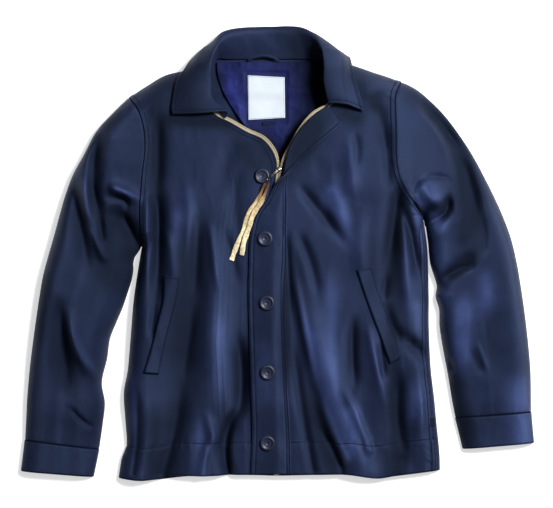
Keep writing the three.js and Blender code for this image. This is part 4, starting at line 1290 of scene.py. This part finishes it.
def lining_z(x, y):
    inside = FALL_ROOM * soften((y - FALL_ROOM_Y) / FALL_ROOM_FADE)
    wave = LINING_LIFT * (1 - np.cos(x / 16)) / 2
    return SHELL_THICK + LINING_CLEAR + TRIM_THICK / 2 + inside + wave


def make_lining():
    u, v = grid(LINING_STEPS, LINING_STEPS)
    narrow = soften(v) ** 1.2
    x = mix(mix(LINING_X[0], LINING_BOTTOM_X[0], narrow), mix(LINING_X[1], LINING_BOTTOM_X[1], narrow), u)
    y = mix(LINING_Y[0], LINING_Y[1], v)
    bare = soften((np.abs(x + 19) - 34) / 6) + soften((np.abs(y - 270) - 42) / 6)
    wrinkle = 2.2 * (creases(x, y, 30, 81, 0.7) + 0.75) + 0.8 * (creases(x, y, 12, 83) + 0.5)
    points = np.stack([x, y, lining_z(x, y) + np.clip(bare, 0, 1) * np.maximum(wrinkle, -0.3)], -1)
    sheet_around("back_lining", points, LINING_THICK, LINING)


def patch_grid(rows, columns, down):
    """Shares and places of a grid between the two sides of a table."""
    u, v = grid(columns, down)
    line = along(rows, v)
    return u, v, mix(line["x0"], line["x1"], u), mix(line["y0"], line["y1"], u)


def make_label(name, rows, columns, down, material):
    *_, x, y = patch_grid(rows, columns, down)
    z = lining_z(x, y) + TRIM_THICK / 2 + LABEL_LIFT + 0.25 * (noise(x, y, 14, 87) - 0.5)
    points = np.stack([x, y, z], -1)
    sheet_around(name, points, LABEL_THICK, material)
    return points


def make_loop():
    u, v = grid(6, 80)
    at = along(LOOP, v)
    across = LOOP_WIDTH * (u - 0.5)
    z = at["z"] + 0.3 * across + 0.5 * np.cos(np.pi * (u - 0.5))
    sheet_around("hanger_loop", np.stack([at["x"], at["y"] + across, z], -1), LOOP_THICK, NAVY)


make_lining()
label_points = make_label("neck_label", LABEL, 40, 40, LABEL_CLOTH)
make_label("size_tab", SIZE_TAB, 14, 8, DARK_TAB)
make_loop()


# ---- trims on the fronts

TRIM_CLEAR = 1.4


def patch_on(name, rows, columns, down, thick, material, crown=0.0):
    u, v, x, y = patch_grid(rows, columns, down)
    base = surface(x, y, True)
    out = upward(normals(base))
    border = soften(from_edges(u, v, 10, 60))
    outer = base + out * (TRIM_CLEAR + thick + crown * border[..., None])
    piece = wall(name + "_cloth", outer, base + out * 0.3, material, lengths(outer),
                 edge_lightening=lighter_edge(from_edges(u, v, 24, 170)))
    finish(piece, name)
    return outer


welts = [patch_on(name, rows, 20, 120, TRIM_THICK, NAVY, 0.7)
         for name, rows in (("welt_right", WELT_RIGHT), ("welt_left", WELT_LEFT))]
patch_on("side_tab", SIDE_TAB, 8, 14, LABEL_THICK, DARK_TAB)


# ---- zip: tapes, teeth, slider and pull

TAPE_OPEN = 6
TAPE_CLOSED = 3.3
TAPE_THICK = 1.3
TAPE_SHEET = 0.9
TAPE_GRID = (5, 300)
TAPE_FROM_ROW = 4
TOOTH_PITCH = 2.4
TOOTH_SAMPLES = 1600


def tape_at(line, hand, u, share):
    at = line(share)
    out_x, out_y = out_from(line, share, hand)
    width = mix(TAPE_OPEN, TAPE_CLOSED, soften((share - 0.35) / 0.1))
    reach = SEAM_GAP + width * u
    z = upper_z(at["x"], at["y"]) - TAPE_THICK / 2
    return np.stack([at["x"] + out_x * reach, at["y"] + out_y * reach, z], -1)


TOOTH_CORNERS = [(out * narrow, along_tape * narrow, rise)
                 for rise, narrow in ((-0.4, 1.0), (1.25, 0.8))
                 for out, along_tape in ((-1.6, -0.75), (1.1, -0.5), (1.1, 0.5), (-1.6, 0.75))]
TOOTH_FACES = [[0, 3, 2, 1], [4, 5, 6, 7], [0, 1, 5, 4], [1, 2, 6, 5], [2, 3, 7, 6], [3, 0, 4, 7]]
TOOTH_ROUND = 0.18


def make_tape(name, line, hand):
    u, v = grid(*TAPE_GRID)
    share = mix(TAPE_FROM_ROW / BODY_ROWS, 1, v)
    sheet_around(name, tape_at(line, hand, u, share), TAPE_SHEET, TAPE_CLOTH)
    fine = np.linspace(TAPE_FROM_ROW / BODY_ROWS, 1, TOOTH_SAMPLES)
    edge = tape_at(line, hand, 0.8, fine)
    inner = tape_at(line, hand, 0.3, fine)
    run = run_along(edge)
    points, faces = [], []
    for k, place in enumerate(np.arange(1, run[-1] - 1, TOOTH_PITCH)):
        at, back = sample(place, run, edge), sample(place, run, inner)
        ahead = sample(place + 1, run, edge) - at
        ahead /= np.linalg.norm(ahead)
        outward = (at - back) / np.linalg.norm(at - back)
        up = upward(np.cross(ahead, outward))
        faces += [[8 * k + i for i in face] for face in TOOTH_FACES]
        points += [at + outward * a + ahead * b + up * rise for a, b, rise in TOOTH_CORNERS]
    teeth = mesh(name.replace("tape", "teeth"), points, faces, BRASS, smooth=False)
    teeth.modifiers.new("round", "BEVEL").width = TOOTH_ROUND * MM
    finish(teeth, name)


make_tape("zip_tape_right", edge_right, 1)
make_tape("zip_tape_left", edge_left, -1)

SLIDER_PLACE = (2, 146)
SLIDER_HEADING = math.radians(221)
SLIDER_WIDTH = 8
PIVOT_A = 3.6
PIVOT_Z = 6.3
PULL_LENGTH = 24
PULL_WIDTH = 4.4
PULL_THICK = 1.2
EYE_RADIUS = 1.2
PULL_STEPS = 48
SLIDER_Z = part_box("zip_slider")[0][2] / MM - 0.3


def from_slider(points):
    """Points given along the pull, across it and up, from the slider's middle."""
    points = np.asarray(points, float)
    cos, sin = math.cos(SLIDER_HEADING), math.sin(SLIDER_HEADING)
    return np.stack([SLIDER_PLACE[0] + points[:, 0] * cos - points[:, 1] * sin,
                     SLIDER_PLACE[1] + points[:, 0] * sin + points[:, 1] * cos,
                     SLIDER_Z + points[:, 2]], -1)


def prism(outline, low, high):
    """Points and faces of an outline, drawn out from low to high."""
    count = len(outline)
    points = [(a, b, low) for a, b in outline] + [(a, b, high) for a, b in outline]
    faces = [list(range(count))[::-1], list(range(count, 2 * count))]
    faces += [[i, (i + 1) % count, (i + 1) % count + count, i + count] for i in range(count)]
    return points, faces


def bevelled(piece, width, segments=3):
    bevel = piece.modifiers.new("round", "BEVEL")
    bevel.width = width * MM
    bevel.segments = segments
    bevel.limit_method = "ANGLE"
    return piece


def make_slider():
    half = SLIDER_WIDTH / 2
    outline = [(-4.8, -half * 0.6), (-2.5, -half), (3.2, -half), (4.8, -half * 0.75),
               (4.8, half * 0.75), (3.2, half), (-2.5, half), (-4.8, half * 0.6)]
    points, faces = prism(outline, 0.4, 3.3)
    body = mesh("zip_slider_body", from_slider(points), faces, STEEL)
    finish(bevelled(body, 0.7), "zip_slider")
    bridge_points, bridge_faces = [], []
    steps = 14
    for i in range(steps + 1):
        t = math.pi * i / steps
        a, z = 0.9 - 3.2 * math.cos(t), 3.1 + 1.9 * math.sin(t) ** 0.7
        for da, db in ((-0.1, -1.3), (-0.1, 1.3)):
            bridge_points += [(a + da, db, z - 0.45), (a + da, db, z + 0.45)]
    for i in range(steps):
        k = 4 * i
        ring = [k, k + 1, k + 3, k + 2]
        for j in range(4):
            a, b = ring[j], ring[(j + 1) % 4]
            bridge_faces.append([a, b, b + 4, a + 4])
    bridge_faces += [[0, 2, 3, 1], [4 * steps, 4 * steps + 1, 4 * steps + 3, 4 * steps + 2]]
    bridge = mesh("zip_slider_bridge", from_slider(bridge_points), bridge_faces, STEEL)
    finish(bevelled(bridge, 0.25, 2), "zip_slider")


def make_pull():
    """A flat tab with an eye: rings of points between the eye and the edge."""
    eye_a = PIVOT_A + PULL_LENGTH - PULL_WIDTH / 2 - 0.6
    turn = 2 * np.pi * np.arange(PULL_STEPS) / PULL_STEPS
    inner = np.stack([eye_a + EYE_RADIUS * np.cos(turn), EYE_RADIUS * np.sin(turn)], -1)
    half = PULL_WIDTH / 2
    outer = []
    for angle in turn:
        c, s = math.cos(angle), math.sin(angle)
        if c > -0.55:
            outer.append((eye_a + 0.6 * max(c, 0) + half * c, half * s))
        else:
            outer.append((PIVOT_A - 0.4, np.clip(half * 0.8 * s / 0.83, -half * 0.8, half * 0.8)))
    count = PULL_STEPS
    points = [(a, b, z) for z in (PIVOT_Z - PULL_THICK / 2, PIVOT_Z + PULL_THICK / 2)
              for loop in (inner, outer) for a, b in loop]
    faces = []
    for i in range(count):
        j = (i + 1) % count
        faces += [[i, i + count, j + count, j], [i + 2 * count, j + 2 * count, j + 3 * count, i + 3 * count],
                  [i + count, i + 3 * count, j + 3 * count, j + count], [i, j, j + 2 * count, i + 2 * count]]
    pull = mesh("zip_pull_tab", from_slider(points), faces, STEEL, body=PULL)
    finish(bevelled(pull, 0.3, 2), "zip_pull")


make_slider()
make_pull()


# ---- buttons

BUTTON_HEIGHT = 4
BUTTON_SIDES = 64
BUTTON_CLEAR = 0.35
# How the flap lies under buttons 2 to 5: its height at their centres, and its slopes
BUTTON_BEDS = [(40.8, 0.042, 0.023), (38.8, 0.051, 0.014), (31.7, -0.056, 0.056), (21.6, -0.005, 0.028)]
# A disc's radii and heights, from the middle of its top to the middle of its back
BUTTON_PROFILE = table("radius height", """
0 0.9, 1.6 0.9, 2.3 1.1, 2.9 1.9, 3.6 2.1, 5.6 2.1, 6.6 2.2, 7.4 2.6, 8.2 3.3, 9.1 3.8, 10 4, 10.9 3.9
11.7 3.5, 12.2 2.8, 12.5 1.9, 12.9 1.4, 13.3 1.1, 13.3 0.5, 12.8 0.05, 0 0.05""")


def button_place(number):
    """A button's middle and its axis: the first as in the CAD, the others as they lie on the flap."""
    if number == 0:
        centre = np.mean(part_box("button_1"), axis=0) / MM
        widest = max(frame["nodes"]["button_1"].data.polygons, key=lambda face: face.area)
        return centre, upward(np.array(widest.normal))
    height, slope_x, slope_y = BUTTON_BEDS[number - 1]
    out = np.array([-slope_x, -slope_y, 1.0])
    out /= np.linalg.norm(out)
    bed = np.array([BUTTONS["x"][number], BUTTONS["y"][number], height + BUTTON_CLEAR])
    return bed + out * BUTTON_HEIGHT / 2, out


def make_button(number):
    centre, out = button_place(number)
    side = np.cross(out, [0, 1, 0])
    side /= np.linalg.norm(side)
    turn = (2 * np.pi * np.arange(BUTTON_SIDES) / BUTTON_SIDES)[:, None]
    around = side * np.cos(turn) + np.cross(out, side) * np.sin(turn)
    radius, height = (BUTTON_PROFILE[name][:, None, None] for name in ("radius", "height"))
    points = centre + around * radius + out * (height - BUTTON_HEIGHT / 2)
    faces = grid_faces(len(radius), BUTTON_SIDES, True)[0][:, [0, 3, 2, 1]]
    name = f"button_{number + 1}"
    finish(mesh(name + "_disc", points, faces, BUTTON), name)


for number in range(len(BUTTONS["x"])):
    make_button(number)


# ---- stitching

STITCH_PITCH = 3.4
STITCH_LENGTH = 2.3
STITCH_HALF = 0.28
SEAM_STITCH = 8.5
COLLAR_STITCH = 6.5
CUFF_STITCH = 2.5
WELT_STITCH = 1.8
LABEL_STITCH = 1.6
LABEL_PITCH = 2.6
# The rows of the left front below the armhole's corner, where its side seam's stitches start
SIDE_STITCH_FROM = 12


class Stitching:
    """Rows of short raised stitches, gathered into one piece."""

    material = THREAD

    def __init__(self):
        self.points, self.faces = [], []

    def row(self, line, out, pitch=STITCH_PITCH):
        run = run_along(line)
        for place in np.arange(pitch, run[-1] - pitch, pitch):
            start, end = (sample(place + d, run, line) for d in (-STITCH_LENGTH / 2, STITCH_LENGTH / 2))
            self.stitch(start, end, sample(place, run, out))

    def stitch(self, start, end, up):
        ahead = (end - start) / max(np.linalg.norm(end - start), 1e-6)
        side = np.cross(ahead, up)
        side /= max(np.linalg.norm(side), 1e-6)
        first = len(self.points)
        low = up * 0.12
        self.points += [start - low, end - low]
        for centre in (mix(start, end, 0.22), mix(start, end, 0.78)):
            self.points += [centre + side * STITCH_HALF, centre + up * STITCH_HALF * 1.4,
                            centre - side * STITCH_HALF, centre - up * STITCH_HALF]
        for i in range(4):
            j = (i + 1) % 4
            self.faces += [[first, first + 2 + i, first + 2 + j], [first + 1, first + 6 + j, first + 6 + i],
                           [first + 2 + i, first + 6 + i, first + 6 + j, first + 2 + j]]

    def make(self, name):
        mesh(name, self.points, self.faces, self.material)


class SeamShadowStrips(Stitching):
    """Dark strips of painted shadow along seams and rows of stitches, where the cloth is pulled in."""

    material = SEAM_SHADOW_CLOTH

    def row(self, line, out, half=0.75, above=0.1):
        ahead = np.gradient(line, axis=0)
        side = np.cross(ahead, out)
        side /= np.maximum(np.linalg.norm(side, axis=1, keepdims=True), 1e-6)
        first = len(self.points)
        for middle, across, up in zip(line, side, out):
            self.points += [middle - across * half + up * above, middle + across * half + up * above]
        for i in range(len(line) - 1):
            a = first + 2 * i
            self.faces.append([a, a + 1, a + 3, a + 2])


def line_in(points, distance, axis, from_end=False, thick=0):
    """A grid's line at a distance from its first or last row (axis 0) or column (axis 1)."""
    if axis == 1:
        points = np.swapaxes(points, 0, 1)
    if from_end:
        points = points[::-1]
    run = down_lengths(points)
    out = upward(normals(points))
    line, outs = (np.array([sample(distance, run[:, k], values[:, k]) for k in range(points.shape[1])])
                  for values in (points, out))
    return line + outs * thick / 2, outs


def stitch_all():
    stitches, seam_shadow_strips = Stitching(), SeamShadowStrips()

    def both(line, out, half=0.75):
        stitches.row(line, out)
        seam_shadow_strips.row(line, out, half)

    side_from = FRONT_GRID[1] // 2
    for points in (right_points, left_points):
        both(*line_in(points, HEM_DEPTH, 0, True))
        seam_shadow_strips.row(*line_in(points, 3, 0, True), 0.5)
        seam_shadow_strips.row(*line_in(points[:side_from], 0.6, 1), 0.9)
        both(*line_in(points[:side_from], SEAM_STITCH, 1))
    for distance in (2, SEAM_STITCH):
        both(*line_in(left_points[side_from + SIDE_STITCH_FROM:], distance, 1))
    for distance in (2.2, SEAM_STITCH):
        both(*line_in(right_points, distance, 1, True))
    for cuff in cuffs:
        ring = cuff[:, :RING_TOP + 1]
        seam_shadow_strips.row(*line_in(ring, 0.5, 0), 0.9)
        stitches.row(*line_in(ring, CUFF_STITCH, 0))
        both(*line_in(ring, CUFF_STITCH, 0, True), 0.5)
    for distance, from_end, half in ((PLACKET_SEAM, False, 0.75), (1.8, False, 1.1),
                                     (PLACKET_SEAM, True, 0.75), (1.5, True, 0.6)):
        both(*line_in(placket_points, distance, 1, from_end, PLACKET_THICK), half)
    for axis, from_end in ((1, True), (0, False), (0, True)):
        both(*line_in(collar_points, COLLAR_STITCH, axis, from_end, COLLAR_THICK), 0.6)
    for outer in welts:
        for from_end in (False, True):
            # Strips of painted shadow along each welt's edges, a little below its top
            for axis in (1, 0):
                seam_shadow_strips.row(*line_in(outer, 0, axis, from_end), 0.8, -0.7)
            for axis in (1, 0):
                both(*line_in(outer, WELT_STITCH, axis, from_end), 0.6)
    for from_end in (False, True):
        for axis in (0, 1):
            stitches.row(*line_in(label_points, LABEL_STITCH, axis, from_end, LABEL_THICK), LABEL_PITCH)
    stitches.make("stitching")
    seam_shadow_strips.make("seam_lines")


stitch_all()


# ---- what each piece of cloth was cut to: its width and length in metres, one layer's area where it isn't
# a rectangle, how it is held and what it rests on

CUTS = """
back_panel 0.56 0.722 0.342 laid floor
front_right 0.33 0.79 0.173 laid back_panel
front_left 0.31 0.765 0.17 laid back_panel
sleeve_right 0.558 0.633 0.167 laid floor
sleeve_left 0.522 0.633 0.166 laid floor
cuff_right 0.274 0.055 - laid floor
cuff_left 0.283 0.057 - laid floor
collar 0.153 0.528 0.052 folded front_right front_left back_panel
placket 0.065 0.674 0.039 folded front_right front_left
facing_right 0.021 0.161 - hung front_right
facing_left 0.021 0.142 - hung front_left
back_lining 0.19 0.208 0.0237 laid back_panel
neck_label 0.063 0.076 - laid back_lining
size_tab 0.024 0.01 0.00018 laid back_lining
side_tab 0.01 0.015 - laid front_left
hanger_loop 0.01 0.056 0.00028 hung collar
welt_right 0.028 0.17 0.0043 laid front_right
welt_left 0.029 0.169 0.0044 laid front_left
zip_tape_right 0.01 0.724 0.0035 hung front_right
zip_tape_left 0.01 0.7 0.0034 hung front_left
"""


def declare_cloth():
    objects = bpy.data.objects
    for row in CUTS.strip().splitlines():
        name, width, length, area, held, *rests_on = row.split()
        with_pieces = [objects[name.replace("tape", "teeth")]] if "tape" in name else []
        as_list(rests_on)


declare_cloth()


# ---- floor: metres

FLOOR_SIZE = 16
FLOOR_GLOW = 0.6
FLOOR_BELOW = 0.0006


def make_floor():
    material, tree, bsdf = shader("floor", 0.9)
    feed(tree, bsdf, {"Base Color": (0.8, 0.8, 0.8, 1), "Emission Color": (1, 1, 1, 1),
                      "Emission Strength": FLOOR_GLOW})
    bpy.ops.mesh.primitive_plane_add(size=FLOOR_SIZE, location=(0, 0, -FLOOR_BELOW))
    floor = bpy.context.object
    floor.name = "floor"
    floor.data.materials.append(material)
    floor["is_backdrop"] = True


make_floor()

({"cad": [list(map(float, corner)) for corner in cad_box],
           "visual": [list(map(float, corner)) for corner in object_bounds()]})
